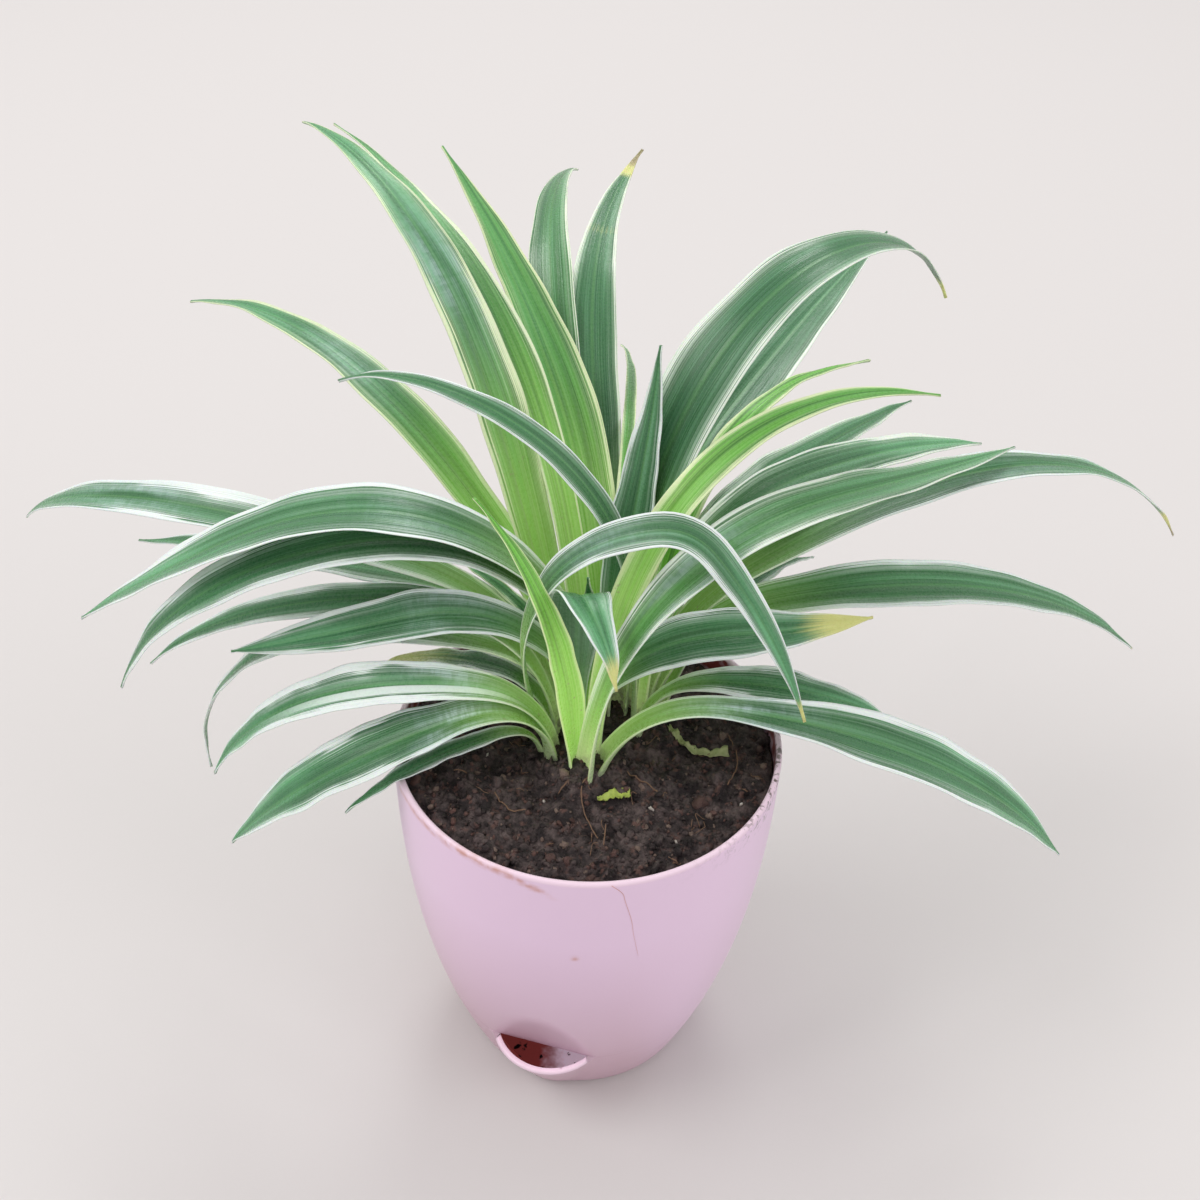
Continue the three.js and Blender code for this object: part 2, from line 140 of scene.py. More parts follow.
# ---------------------------------------------------------------- leaves
# One row for each of leaf_01 to leaf_38: foot x and y, heading at the foot, turn of the heading at the
# tip, length, pitch at the foot, pitch past the bend, pitch at the tip, where the bend is, widest width,
# roll. These are the rows that the solids are made from. They weren't chosen by hand: a search that was
# fitted to points read off the photograph printed them, and the two creases in FORMS.
LEAVES = (
    (-11, 16, 144, 3, 242, 74, 52, -7, 0.42, 18.5, 0),
    (-5.5, 19, 129, 22, 255, 79, 22, 9, 0.38, 11.5, -2),
    (0, 23.5, 118, 38, 211, 79, 32, 42, 0.31, 19.5, -2),
    (-7, 24.5, 119, -28, 272, 71, 28, -23, 0.31, 16, -6),
    (2, 31.5, 120, -41, 230, 69, 14, 13, 0.44, 18, 7),
    (0.5, 21.5, 98, 13, 206, 85, -6, -24, 0.37, 4.5, 1),
    (1, 16.5, 66, -2, 139, 86, 73, 87, 0.43, 16.5, 0),
    (6, 21.5, 55, -5, 258, 88, 86, -63, 0.19, 25, 6),
    (6.5, 28.5, 79, -11, 253, 84, 7, 10, 0.25, 23.5, 8),
    (14.5, 16, 78, -30, 184, 88, 2, -10, 0.46, 9.5, -7),
    (4, -5.5, 58, -35, 197, 89, 29, -14, 0.42, 10.5, 34),
    (13.5, 28, 61, 2, 191, 86, 3, -10, 0.3, 17.5, 1),
    (11.5, 20, 55, -9, 209, 87, 1, -19, 0.3, 19, 5),
    (5, -17, 41, 17, 236, 89, -6, -11, 0.34, 19, 4),
    (14.5, 20, 40, -2, 285, 83, 25, -55, 0.14, 18.5, 4),
    (20, 23, 54, 2, 94, 79, 27, -25, 0.31, 11.5, -13),
    (16.5, 20.5, 33, -3, 237, 83, 3, -45, 0.16, 21.5, 9),
    (0.5, 0, 21, 5, 123, 89, -5, 8, 0.34, 18, 31),
    (-12, -2, 10, -25, 200, 110, 14, -18, 0.36, 11, 33),
    (7, -13, 19, -3, 205, 75, -10, -53, 0.16, 23.5, 10),
    (15.5, 11, 19, -3, 113, 88, 0, -38, 0.19, 15, 12),
    (-2, -7, 294, 22, 108, 100, 84, -10, 0.49, 18, -12),
    (0, -14.5, 160, -1, 109, 83, 88, 30, 0.11, 11, -14),
    (12, 14.5, 202, -39, 195, 89, 89, -32, 0.17, 9, -32),
    (-12.5, 20.5, 156, 7, 225, 74, 48, -21, 0.16, 17.5, 0),
    (-15, 14, 188, -38, 266, 79, 17, -44, 0.17, 15.5, -21),
    (-3, 14.5, 199, -21, 248, 85, -25, -42, 0.37, 21.5, -6),
    (-7, 13.5, 200, -9, 233, 89, 2, -68, 0.29, 19.5, -13),
    (-18, 13.5, 170, 1, 204, 83, -7, -18, 0.2, 18.5, -5),
    (-11.5, 2, 180, -3, 205, 84, -9, -49, 0.23, 11, -39),
    (-6, 8, 191, 10, 149, 88, -21, -10, 0.33, 16.5, -30),
    (-12, 7.5, 190, 0, 193, 83, 17, -98, 0.14, 15.5, -4),
    (-10, -8.5, 194, 2, 152, 86, 10, -67, 0.17, 17.5, -14),
    (-11.5, -10, 209, -18, 143, 89, -14, -56, 0.18, 22, -11),
    (-14, -7.5, 219, -6, 81, 80, -1, -42, 0.18, 8, 1),
    (-14, 3, 176, 13, 82, 87, 8, -33, 0.25, 11, 9),
    (-7.5, 7, 156, -4, 83, 86, 7, -2, 0.45, 6, -7),
    (-2.5, 3.5, 91, -5, 71, 80, 86, 102, 0.22, 9, -1),
)
# Widest point, power of the taper, a further twist, the foot's share of the width, where that stalk
# starts to open, and the place and degrees of a crease, where a leaf hasn't the plain form.
PLAIN_FORM = dict(widest=0.52, taper=1.7, twist=0, petiole=0.36, stalk=0, crease=0.6, kink=0)
FORMS = {
    1: dict(petiole=0.58),
    2: dict(taper=1.3, petiole=0.65),
    3: dict(petiole=0.5),
    4: dict(taper=1.9),
    8: dict(taper=1.5),
    11: dict(petiole=0.7),
    13: dict(widest=0.6, taper=2.2),
    14: dict(petiole=0.5, stalk=0.15),
    15: dict(taper=1.3),
    17: dict(taper=1.4, twist=12),
    18: dict(widest=0.55, stalk=0.15),
    19: dict(widest=0.6, twist=27, petiole=0.26, crease=0.63, kink=-51),
    20: dict(widest=0.6, taper=2.1, twist=10, petiole=0.38, stalk=0.22),
    21: dict(stalk=0.18),
    22: dict(widest=0.62, taper=1.4, stalk=0.2, crease=0.66, kink=-62),
    23: dict(widest=0.35, taper=1.2, petiole=0.8),
    25: dict(petiole=0.5),
    26: dict(widest=0.6, twist=-10),
    27: dict(taper=2.2, twist=-8),
    28: dict(widest=0.6, taper=2.1, twist=-9),
    30: dict(twist=-12),
    31: dict(widest=0.6, taper=2.1, twist=-10, petiole=0.3, stalk=0.1),
    32: dict(taper=1.2),
    33: dict(taper=2.0, petiole=0.45, stalk=0.12),
    34: dict(widest=0.58, taper=2.2, petiole=0.45, stalk=0.15),
}
# How each leaf differs from a mature one: youth is how bright a green it still is, fade how much of that
# a blade loses on the way to the tip, margin the pale share of the half width, lime how yellow it is,
# white a pale stripe inside it, deep how dark the green stays, foot how far the stalk takes its own
# colour, stem how long it is and glow how much it glows by its own colour, a painted glow in
# place of light that shines through it. The tip dries between two shares of the length, as far as
# withered; bloom and spot are the place and strength of a painted sheen, a pale patch in place
# of a highlight, and of a yellow spot.
PLAIN_LOOK = dict(
    youth=0.12, fade=0.75, margin=0.14, lime=0.1, white=0.0, deep=0.0, foot=0.9, stem=0.36, glow=0.12,
    dry=(1.0, 1.2), withered=1.0, bloom=(0.5, 0.0), spot=(0.5, 0.0),
)
LOOKS = {
    1: dict(youth=0.75, margin=0.16, fade=0.95, stem=0.5, bloom=(0.66, 0.4), glow=0.25, lime=0.8),
    2: dict(youth=0.8, margin=0.26, stem=0.5, glow=0.25, lime=0.7),
    3: dict(youth=0.7, margin=0.17, fade=0.6, stem=0.5, glow=0.2, lime=0.9),
    4: dict(youth=0.3, deep=0.3, lime=0.5),
    5: dict(youth=0.1, deep=0.4, dry=(0.9, 0.96), spot=(0.775, 0.24), lime=0.4),
    6: dict(youth=0.8, margin=0.3, lime=0.9),
    7: dict(youth=0.1, deep=0.5),
    8: dict(youth=0.05, margin=0.1, dry=(0.93, 1.02), deep=0.6, lime=0.3),
    9: dict(youth=0.05, margin=0.1, deep=0.6, lime=0.3),
    10: dict(youth=0.9, margin=0.26, fade=0.3, glow=0.3, lime=0.9),
    11: dict(youth=0.95, margin=0.3, fade=0.45, stem=0.6, glow=0.3, lime=0.9),
    12: dict(deep=0.5, lime=0.3),
    13: dict(margin=0.2, lime=0.3),
    14: dict(youth=0.3, margin=0.2, stem=0.24, bloom=(0.38, 0.4), deep=0.2, glow=0.3, lime=0.3),
    15: dict(margin=0.16, dry=(0.9, 0.99), bloom=(0.6, 0.3)),
    16: dict(margin=0.2),
    17: dict(dry=(0.97, 1.05), deep=0.3),
    18: dict(dry=(0.72, 0.93), withered=0.6, deep=0.3, glow=0.4),
    19: dict(margin=0.2, dry=(0.93, 1.02), bloom=(0.5, 0.3)),
    20: dict(margin=0.16, glow=0.2, bloom=(0.31, 1.0), stem=0.3),
    21: dict(margin=0.3),
    22: dict(margin=0.16, dry=(0.84, 1.04)),
    23: dict(youth=1.0, fade=0.3, margin=0.1, stem=0.75, glow=0.6, lime=1.0),
    24: dict(youth=0.15, margin=0.16, deep=0.3),
    25: dict(youth=0.75, margin=0.16, fade=0.95, stem=0.5, bloom=(0.66, 0.25), glow=0.25, lime=0.8),
    26: dict(margin=0.32, bloom=(0.7, 0.5)),
    27: dict(margin=0.22, bloom=(0.45, 0.2)),
    28: dict(margin=0.32, deep=0.3),
    29: dict(margin=0.18, deep=0.3),
    30: dict(margin=0.26, deep=0.3),
    31: dict(margin=0.26, bloom=(0.5, 0.4)),
    32: dict(margin=0.36, bloom=(0.5, 0.4)),
    33: dict(margin=0.3, white=0.8, bloom=(0.34, 0.7)),
    34: dict(margin=0.2, bloom=(0.32, 1.0)),
    35: dict(margin=0.16, youth=0.2),
    36: dict(margin=0.2, dry=(0.3, 1.3)),
    37: dict(youth=0.5, margin=0.35, lime=0.7),
    38: dict(youth=0.7, margin=0.16, stem=0.6, lime=0.7),
}


# ---------------------------------------------------------------- mesh helpers
def smooth(t):
    """Smooth step: 0 below 0, 1 above 1, 3t^2 - 2t^3 between."""
    t = np.clip(t, 0.0, 1.0)
    return t * t * (3.0 - 2.0 * t)


def bell(t):
    """Bell curve: e to the minus t squared, so 1 at 0."""
    return np.exp(-(t**2))


def mix(a, b, t):
    """The way from a to b, by the share t."""
    return a + (b - a) * t


def unit(vectors):
    """Vectors scaled to a length of 1."""
    return vectors / np.linalg.norm(vectors, axis=1)[:, None]


def grid_quads(rows, columns):
    """Quads of a grid of points in rows, each row closed on itself and joined to the next."""
    i, j = np.meshgrid(np.arange(rows - 1) * columns, np.arange(columns), indexing="ij")
    k = (j + 1) % columns
    return np.stack([i + j, i + k, i + columns + k, i + columns + j], axis=-1).reshape(-1, 4)


def pole_caps(rows, columns):
    """Quads that close a grid's first and last row at two poles, the points that follow the grid's own,
    each quad over two steps of the row.
    """
    even = np.arange(0, columns, 2)
    total = rows * columns
    fans = []
    for start, pole in ((0, total), (total - columns, total + 1)):
        edge = [start + even, start + even + 1, start + (even + 2) % columns]
        fans.append(np.stack([*edge, np.full(len(even), pole)], axis=1))
    return np.concatenate([fans[0][:, ::-1], fans[1]])


def sleeve(top, bottom):
    """Closed skin round two sheets: every row runs over the top sheet and back along the bottom one,
    and a cap closes the first row and the last.
    """
    rows, columns = top.shape[:2]
    count = 2 * columns
    j = np.arange(columns - 1)
    cap = np.stack([j + 1, j, count - 1 - j, count - 2 - j], axis=1)
    faces = np.concatenate([grid_quads(rows, count), cap, cap[:, ::-1] + (rows - 1) * count])
    return np.concatenate([top, bottom[:, ::-1]], axis=1).reshape(-1, 3), faces


def signed_volume(points, faces):
    """Volume inside quads whose order faces outwards; negative when they face inwards."""
    a, b, c, d = (points[faces[:, n]] for n in range(4))
    one = np.einsum("ij,ij->i", a, np.cross(b, c))
    two = np.einsum("ij,ij->i", a, np.cross(c, d))
    return (one.sum() + two.sum()) / 6.0


def placed(name, data):
    """Object made from a mesh, lamp or camera and linked to the scene."""
    thing = bpy.data.objects.new(name, data)
    bpy.context.scene.collection.objects.link(thing)
    return thing


def add_piece(name, points, faces, material, slot, replaces=(), uv=None, values=None):
    """Object at the origin from millimetre points and quads, turned outwards, riding on the root body."""
    faces = np.asarray(faces, dtype=np.int32)
    if signed_volume(points, faces) < 0:
        faces = faces[:, ::-1]
    mesh = bpy.data.meshes.new(name)
    mesh.vertices.add(len(points))
    mesh.vertices.foreach_set("co", (np.asarray(points) * MM).astype(np.float32).ravel())
    mesh.loops.add(faces.size)
    mesh.loops.foreach_set("vertex_index", faces.ravel())
    mesh.polygons.add(len(faces))
    mesh.polygons.foreach_set("loop_start", np.arange(0, faces.size, 4, dtype=np.int32))
    mesh.update(calc_edges=True)
    mesh.polygons.foreach_set("use_smooth", np.ones(len(faces), dtype=bool))
    if uv is not None:
        layer = mesh.uv_layers.new(name="UVMap")
        layer.uv.foreach_set("vector", uv[faces.ravel()].astype(np.float32).ravel())
    for key, column in (values or {}).items():
        attribute = mesh.attributes.new(key, "FLOAT", "POINT")
        attribute.data.foreach_set("value", np.asarray(column, dtype=np.float32))
    mesh.validate()
    mesh.materials.append(material)
    piece = placed(name, mesh)
    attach(piece, "root")
    if replaces:
        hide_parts(*replaces)


# ---------------------------------------------------------------- node helpers
class Value:
    """A node's output, so that sums of outputs and numbers can be written as formulas."""

    def __init__(self, shader, socket):
        self.shader = shader
        self.socket = socket

    def __add__(self, other):
        return self.shader.number("ADD", self, other)

    def __sub__(self, other):
        return self.shader.number("SUBTRACT", self, other)

    def __rsub__(self, other):
        return self.shader.number("SUBTRACT", other, self)

    def __mul__(self, other):
        return self.shader.number("MULTIPLY", self, other)


class Shader:
    """One material's node tree, with short calls for the nodes that the finishes use."""

    def __init__(self, name):
        self.material = bpy.data.materials.new(name)
        self.material.use_nodes = True
        self.tree = self.material.node_tree
        self.surface = self.tree.nodes["Principled BSDF"].inputs

    def put(self, value, socket):
        """Links another node's output to a socket, or sets the socket to a plain value."""
        if isinstance(value, Value):
            self.tree.links.new(value.socket, socket)
        else:
            socket.default_value = value

    def node(self, kind, values, output=0, **settings):
        """One output of a new node, with its settings made and its inputs, by name or place, put in."""
        node = self.tree.nodes.new(kind)
        for key, value in settings.items():
            setattr(node, key, value)
        for key, value in values.items():
            self.put(value, node.inputs[key])
        return Value(self, node.outputs[output])

    def number(self, operation, a, b=0.0):
        """A sum, product or other operation on one or two numbers."""
        return self.node("ShaderNodeMath", {0: a, 1: b}, operation=operation)

    def larger(self, a, b):
        """The larger of two numbers."""
        return self.number("MAXIMUM", a, b)

    def mapped(self, value, low, high, to_low=0.0, to_high=1.0, kind="SMOOTHSTEP"):
        """The range low to high of a value, eased into the range to_low to to_high."""
        values = dict(enumerate((value, low, high, to_low, to_high)))
        return self.node("ShaderNodeMapRange", values, interpolation_type=kind)

    def layered(self, colour, *layers):
        """A colour with others laid over it in turn, each by its share."""
        for share, over in layers:
            colour = self.node("ShaderNodeMix", {0: share, 6: colour, 7: over}, output=2, data_type="RGBA")
        return colour

    def noise(self, vector, scale, detail=3.0, roughness=0.5):
        """Fractal noise at a place, about 0 to 1."""
        values = {"Vector": vector, "Scale": scale, "Detail": detail, "Roughness": roughness}
        return self.node("ShaderNodeTexNoise", values)

    def grain(self, scale, detail=3.0, roughness=0.5):
        """Noise over the object's own axes, with its scale in features a metre."""
        return self.noise(self.place(), scale, detail, roughness)

    def vector(self, x, y, z):
        """Three numbers as a place."""
        return self.node("ShaderNodeCombineXYZ", {0: x, 1: y, 2: z})

    def split(self, vector):
        """The three numbers of a place."""
        return [self.node("ShaderNodeSeparateXYZ", {0: vector}, output=n) for n in range(3)]

    def attribute(self, name):
        """Value that the mesh gives for each point."""
        return self.node("ShaderNodeAttribute", {}, output="Fac", attribute_name=name)

    def uv(self):
        """Place on the mesh's map."""
        return self.node("ShaderNodeUVMap", {}, uv_map="UVMap")

    def place(self):
        """Place in the object's own axes."""
        return self.node("ShaderNodeTexCoord", {}, output="Object")

    def bump(self, height, distance, strength, **below):
        """Direction of a surface that a height of 1 lifts by a distance, over the bump below it."""
        values = {"Strength": strength, "Distance": distance, "Height": height, **below}
        return self.node("ShaderNodeBump", values)

    def finish(self, colour, roughness, glow=None, **inputs):
        """The material, once colour, roughness and other inputs are in; it glows by a share of its colour, a
        painted glow.
        """
        if glow is not None:
            inputs["Emission_Color"] = self.layered((0.0, 0.0, 0.0, 1.0), (glow, colour))
        for key, value in {"Base_Color": colour, "Roughness": roughness, **inputs}.items():
            self.put(value, self.surface[key.replace("_", " ")])
        return self.material


def rgb(red, green, blue):
    """Opaque linear colour from 0 to 255 screen values."""
    screen = np.array([red, green, blue]) / 255.0
    low = screen / 12.92
    high = ((screen + 0.055) / 1.055) ** 2.4
    return (*np.where(screen <= 0.04045, low, high).tolist(), 1.0)


# ---------------------------------------------------------------- finishes
def leaf_finish(settings):
    """Green blade with fine long veins, pale feathered margins and streaks, pale foot, dry tip, grey back.

    Every pattern is drawn on the blade's own map: noises that are squeezed across the blade and drawn
    out along it give veins and streaks, and a slow one on each half moves the margin's inner edge.
    """
    s = Shader("leaf_blade")
    across, along, _ = s.split(s.uv())
    tone = s.attribute("tone")
    signed = across * 2.0 - 1.0
    side = s.number("ABSOLUTE", signed)
    half = s.number("SIGN", signed) * 9.0

    def drawn_out(crosswise, lengthwise, shift, detail=2.0):
        return s.noise(s.vector(across * crosswise, along * lengthwise, tone + shift), 1.0, detail)

    fine = drawn_out(64.0, 1.2, 0.0, 1.0)
    medium = drawn_out(20.0, 1.0, 4.0)
    broad = drawn_out(6.0, 1.6, 20.0)
    patch = drawn_out(2.6, 5.0, 8.0)
    pucker = drawn_out(2.0, 90.0, 16.0)
    flow = s.noise(s.vector(half, along * 6.0, tone + 12.0), 1.0, 2.0)
    veins = s.mapped(fine, 0.3, 0.7)
    streaks = s.mapped(fine * 0.55 + medium * 0.45, 0.36, 0.64)

    # The greens of a mature and of a young blade, and the middle vein.
    reach = s.mapped(along + (patch - 0.5) * 0.7, 0.3, 1.0) * (1.0 - s.attribute("deep"))
    young = s.layered(
        settings.young_dark,
        (s.mapped(broad, 0.35, 0.6), settings.young_green),
        (veins * 0.25, settings.young_light),
        (s.mapped(medium, 0.45, 0.7, 0.0, 0.6), settings.young_light),
    )
    green = s.layered(
        settings.leaf_dark,
        (reach, settings.leaf_green),
        (s.mapped(reach, 0.5, 1.0, 0.0, 0.75), settings.leaf_tip),
        (s.mapped(broad, 0.35, 0.6, 0.55, 0.0), settings.leaf_dark),
        (s.mapped(broad, 0.52, 0.7, 0.0, 0.35), settings.leaf_light),
        (veins * 0.22, settings.leaf_light),
        (s.attribute("youth"), young),
        (s.mapped(side, 0.0, 0.12, 1.0, 0.0) * s.mapped(along, 0.08, 0.3, 0.0, 0.22), settings.leaf_vein),
    )

    # The pale margin with its feathered inner edge, and the streaks, lines and stripe inside it.
    edge = 1.0 - s.attribute("margin") * s.mapped(flow, 0.3, 0.7, 0.45, 1.6, "LINEAR")
    margin = s.mapped(side + (streaks - 0.5) * 0.2, edge - 0.07, edge + 0.05)
    gaps = s.mapped(fine, 0.3, 0.42, 0.35, 0.0) * s.mapped(side, 0.88, 0.95, 1.0, 0.0)
    margin = s.larger(margin * (1.0 - gaps), s.mapped(side, 0.94, 0.985))
    inwards = s.mapped(side, edge - 0.45, edge)
    lines = s.mapped(fine, 0.6, 0.68) * inwards * s.mapped(s.attribute("margin"), 0.1, 0.24, 0.2, 0.85)
    offset = s.number("ABSOLUTE", across + medium * 0.1 - 0.72)
    stripe = s.mapped(offset, 0.07, 0.11, 1.0, 0.0) * s.attribute("white")
    marks = s.larger(s.larger(margin, lines), s.larger(stripe, inwards * streaks * 0.4))
    pale = s.layered(settings.margin_mint, (s.attribute("lime"), settings.margin_young))

    # The painted sheen on a bend, a pale patch in place of a highlight, the pale stalk with its scars and
    # dirt, and the tip that dries.
    sheen = s.attribute("bloom") * s.mapped(patch, 0.35, 0.6)
    sheen = sheen * s.mapped(streaks, 0.1, 0.7, 0.4, 1.0) * s.mapped(pucker, 0.4, 0.6, 0.55, 1.0)
    foot = s.layered(
        settings.foot_green,
        (veins * 0.4, settings.foot_pale),
        (s.mapped(along, 0.02, 0.16, 1.0, 0.0) * 0.8, settings.foot_pale),
        (s.mapped(side, 0.82, 0.95) * 0.7, settings.foot_pale),
    )
    scars = s.mapped(s.grain(420.0, 3.0, 0.6), 0.66, 0.72) * s.attribute("foot")
    dirt = s.mapped(along, 0.02, 0.075, 0.75, 0.0) * s.mapped(s.grain(300.0), 0.4, 0.6)
    dry = s.attribute("dry") + (medium - 0.5) * 0.5
    colour = s.layered(
        green,
        (marks, pale),
        (sheen, settings.leaf_painted_sheen),
        (s.attribute("foot"), foot),
        (scars * 0.7, settings.tip_brown),
        (dirt, settings.soil_brown),
        (s.attribute("back") * 0.4, settings.back_grey),
        (s.mapped(dry, 0.15, 0.55, 0.0, 0.9), settings.tip_yellow),
        (s.mapped(dry, 0.85, 1.05), settings.tip_brown),
    )

    ribs = s.bump(fine, 0.0003, 0.5)
    normal = s.bump(pucker * s.mapped(patch, 0.52, 0.68), 0.0004, 0.5, Normal=ribs)
    # The blade glows by a share of its own colour, most at the stalk and in young blades: a painted glow in
    # place of light that shines through.
    layers = dict(Subsurface_Weight=0.15, Subsurface_Scale=0.0015, Subsurface_Radius=(0.5, 1.0, 0.3))
    layers.update(Coat_Weight=0.12, Coat_Roughness=0.16, Specular_IOR_Level=0.32, Emission_Strength=0.5)
    return s.finish(colour, s.grain(900.0, 2.0) * 0.16 + 0.2, s.attribute("glow"), Normal=normal, **layers)


def pot_finish(settings):
    """Pink-lilac plastic with paler clouds, painted shade that is darker and rosier towards the foot, a
    painted highlight on the rim and lip, painted shade in the recess above the mouth, an orange-brown
    line under the rim, dusty smears, and inside the fill mouth painted light, painted red-brown shade
    and a painted glow, with painted red-brown shade on the inner wall near the rim.
    """
    s = Shader("pot_plastic")
    x, _, z = s.split(s.place())
    cloud = s.grain(22.0, 4.0, 0.55)
    grain = s.grain(260.0)
    # Painted shade: darker and rosier towards the foot, less so on the right side.
    low = s.mapped(z, 0.02, 0.11, 1.0, 0.0, "LINEAR") * s.mapped(x, 0.026, 0.05, 1.0, 0.3)
    inside = s.attribute("inside")
    black = inside * s.mapped(s.grain(240.0), 0.6, 0.66)
    # Painted shade on the left of the inner face behind the fill mouth.
    mouth_shade = s.mapped(x + s.grain(130.0, 3.0, 0.6) * 0.02, 0.004, 0.016, 1.0, 0.0)
    colour = s.layered(
        settings.pot_lilac,
        (low, settings.pot_foot_shade),
        (cloud * 0.3, settings.pot_cloud_and_painted_light),
        # Painted shade in the recess above the fill mouth.
        (s.attribute("recess"), settings.pot_recess_shade),
        # Behind the fill mouth: painted light, a pale lit pink, and on the left painted red-brown shade.
        (inside * 0.85, settings.pot_cloud_and_painted_light),
        (inside * mouth_shade, settings.inner_shade_red),
        (black, settings.soil_dark),
        # Painted red-brown shade on the inner wall near the rim, away from the mouth.
        (s.attribute("inner_rim_shade") * s.mapped(grain, 0.2, 0.6), settings.inner_shade_red),
        # Painted highlight on the top of the rim and on the mouth's lip.
        (s.larger(s.mapped(z, 0.1392, 0.1404), s.attribute("lip")) * 0.85, settings.pot_edge_highlight),
        # Orange-brown line under the rim, on the left.
        (s.attribute("rim_line") * s.mapped(grain, 0.3, 0.7), settings.pot_orange_brown),
        (s.attribute("dot"), settings.pot_orange_brown),
        (s.attribute("dust") * s.mapped(s.grain(420.0, 4.0, 0.7), 0.5, 0.62), settings.soil_brown),
    )
    normal = s.bump(s.grain(1400.0, 2.0), 0.00005, 0.4)
    layers = dict(Normal=normal, Specular_IOR_Level=0.5, Emission_Strength=0.35)
    # The inside of the fill mouth glows by a share of its own colour: a painted glow.
    return s.finish(colour, cloud * 0.14 + 0.3, inside * (1.0 - black), **layers)


def inner_plastic_finish(settings):
    """The false bottom in painted red-brown shade, with darker clouds of it, speckled with soil."""
    s = Shader("false_bottom_plastic")
    dirt = s.mapped(s.grain(330.0, 4.0, 0.7), 0.55, 0.66)
    cloud = s.grain(60.0, 4.0)
    colour = s.layered(settings.inner_shade_red, (cloud, settings.inner_shade_dark), (dirt, settings.soil_dark))
    return s.finish(colour, dirt * 0.4 + 0.35, Normal=s.bump(dirt, 0.0003, 0.5))


def soil_finish(settings, name):
    """Dark crumbly potting mix: black, brown and reddish crumbs with pale fibres, matt with damp glints.
    The tint attribute shifts whole crumbs towards red or pale brown.
    """
    s = Shader(name)
    coarse = s.grain(190.0, 5.0, 0.65)
    fine = s.grain(900.0, 4.0, 0.7)
    tint = s.attribute("tint")
    red = s.larger(s.mapped(s.grain(330.0), 0.56, 0.72) * 0.7, s.mapped(tint, 0.72, 0.9, 0.0, 0.75))
    pale = s.larger(s.mapped(fine, 0.62, 0.8, 0.0, 0.8), s.mapped(tint, 0.93, 0.97, 0.0, 0.6))
    colour = s.layered(
        settings.soil_dark,
        (s.mapped(coarse, 0.38, 0.7), settings.soil_brown),
        (red, settings.soil_red),
        (pale, settings.soil_light),
    )
    normal = s.bump(coarse * 0.6 + fine * 0.4, 0.003, 1.0)
    return s.finish(colour, s.mapped(fine, 0.2, 0.8, 0.9, 0.5), Normal=normal, Specular_IOR_Level=0.35)


def fibre_finish(name, light, dark):
    """Thin dry stalk, hair or scrap: two colours mixed by a fine grain."""
    s = Shader(name)
    grain = s.grain(700.0)
    roughness = s.mapped(grain, 0.2, 0.8, 0.8, 0.55)
    return s.finish(s.layered(light, (grain, dark)), roughness, Normal=s.bump(grain, 0.0002, 0.5))


def floor_finish(settings):
    """Pale warm grey studio paper with a barely visible grain."""
    s = Shader("studio_floor")
    colour = s.layered(settings.floor, (s.grain(900.0, 2.0) * 0.03, (1.0, 1.0, 1.0, 1.0)))
    return s.finish(colour, 0.9, Specular_IOR_Level=0.1)


# ---------------------------------------------------------------- leaves
def ahead(pitch, heading):
    """Unit vectors from their angle above the level and their heading from +X."""
    level = np.cos(pitch)
    return np.stack([level * np.cos(heading), level * np.sin(heading), np.sin(pitch)], axis=1)


def midrib(row, form, u):
    """Points, pitch and heading at the shares u of a leaf's length.

    Pitch eases from rise to level around the bend and then droops to fall, with a kink at a crease;
    the heading turns with the square of u. Both are summed up in short strides from the foot.
    """
    x, y, heading, turn, length, rise, level, fall, bend = row[:9]

    def angles(v):
        drooped = np.maximum(0.0, (v - bend) / (1.0 - bend)) ** DROOP_POWER
        kinked = form["kink"] * smooth((v - form["crease"]) / CREASE_SPAN + 0.5)
        pitch = rise + (level - rise) * smooth(v / (2.0 * bend)) + (fall - level) * drooped + kinked
        return np.radians(pitch), np.radians(heading + turn * v * v)

    steps = ahead(*angles((np.arange(STRIDES) + 0.5) / STRIDES)) * (length / STRIDES)
    path = np.vstack([[0.0, 0.0, 0.0], np.cumsum(steps, axis=0)]) + (x, y, LEAF_FOOT_Z)
    knots = np.arange(STRIDES + 1) / STRIDES
    points = np.stack([np.interp(u, knots, path[:, k]) for k in range(3)], axis=1)
    return points, *angles(u)


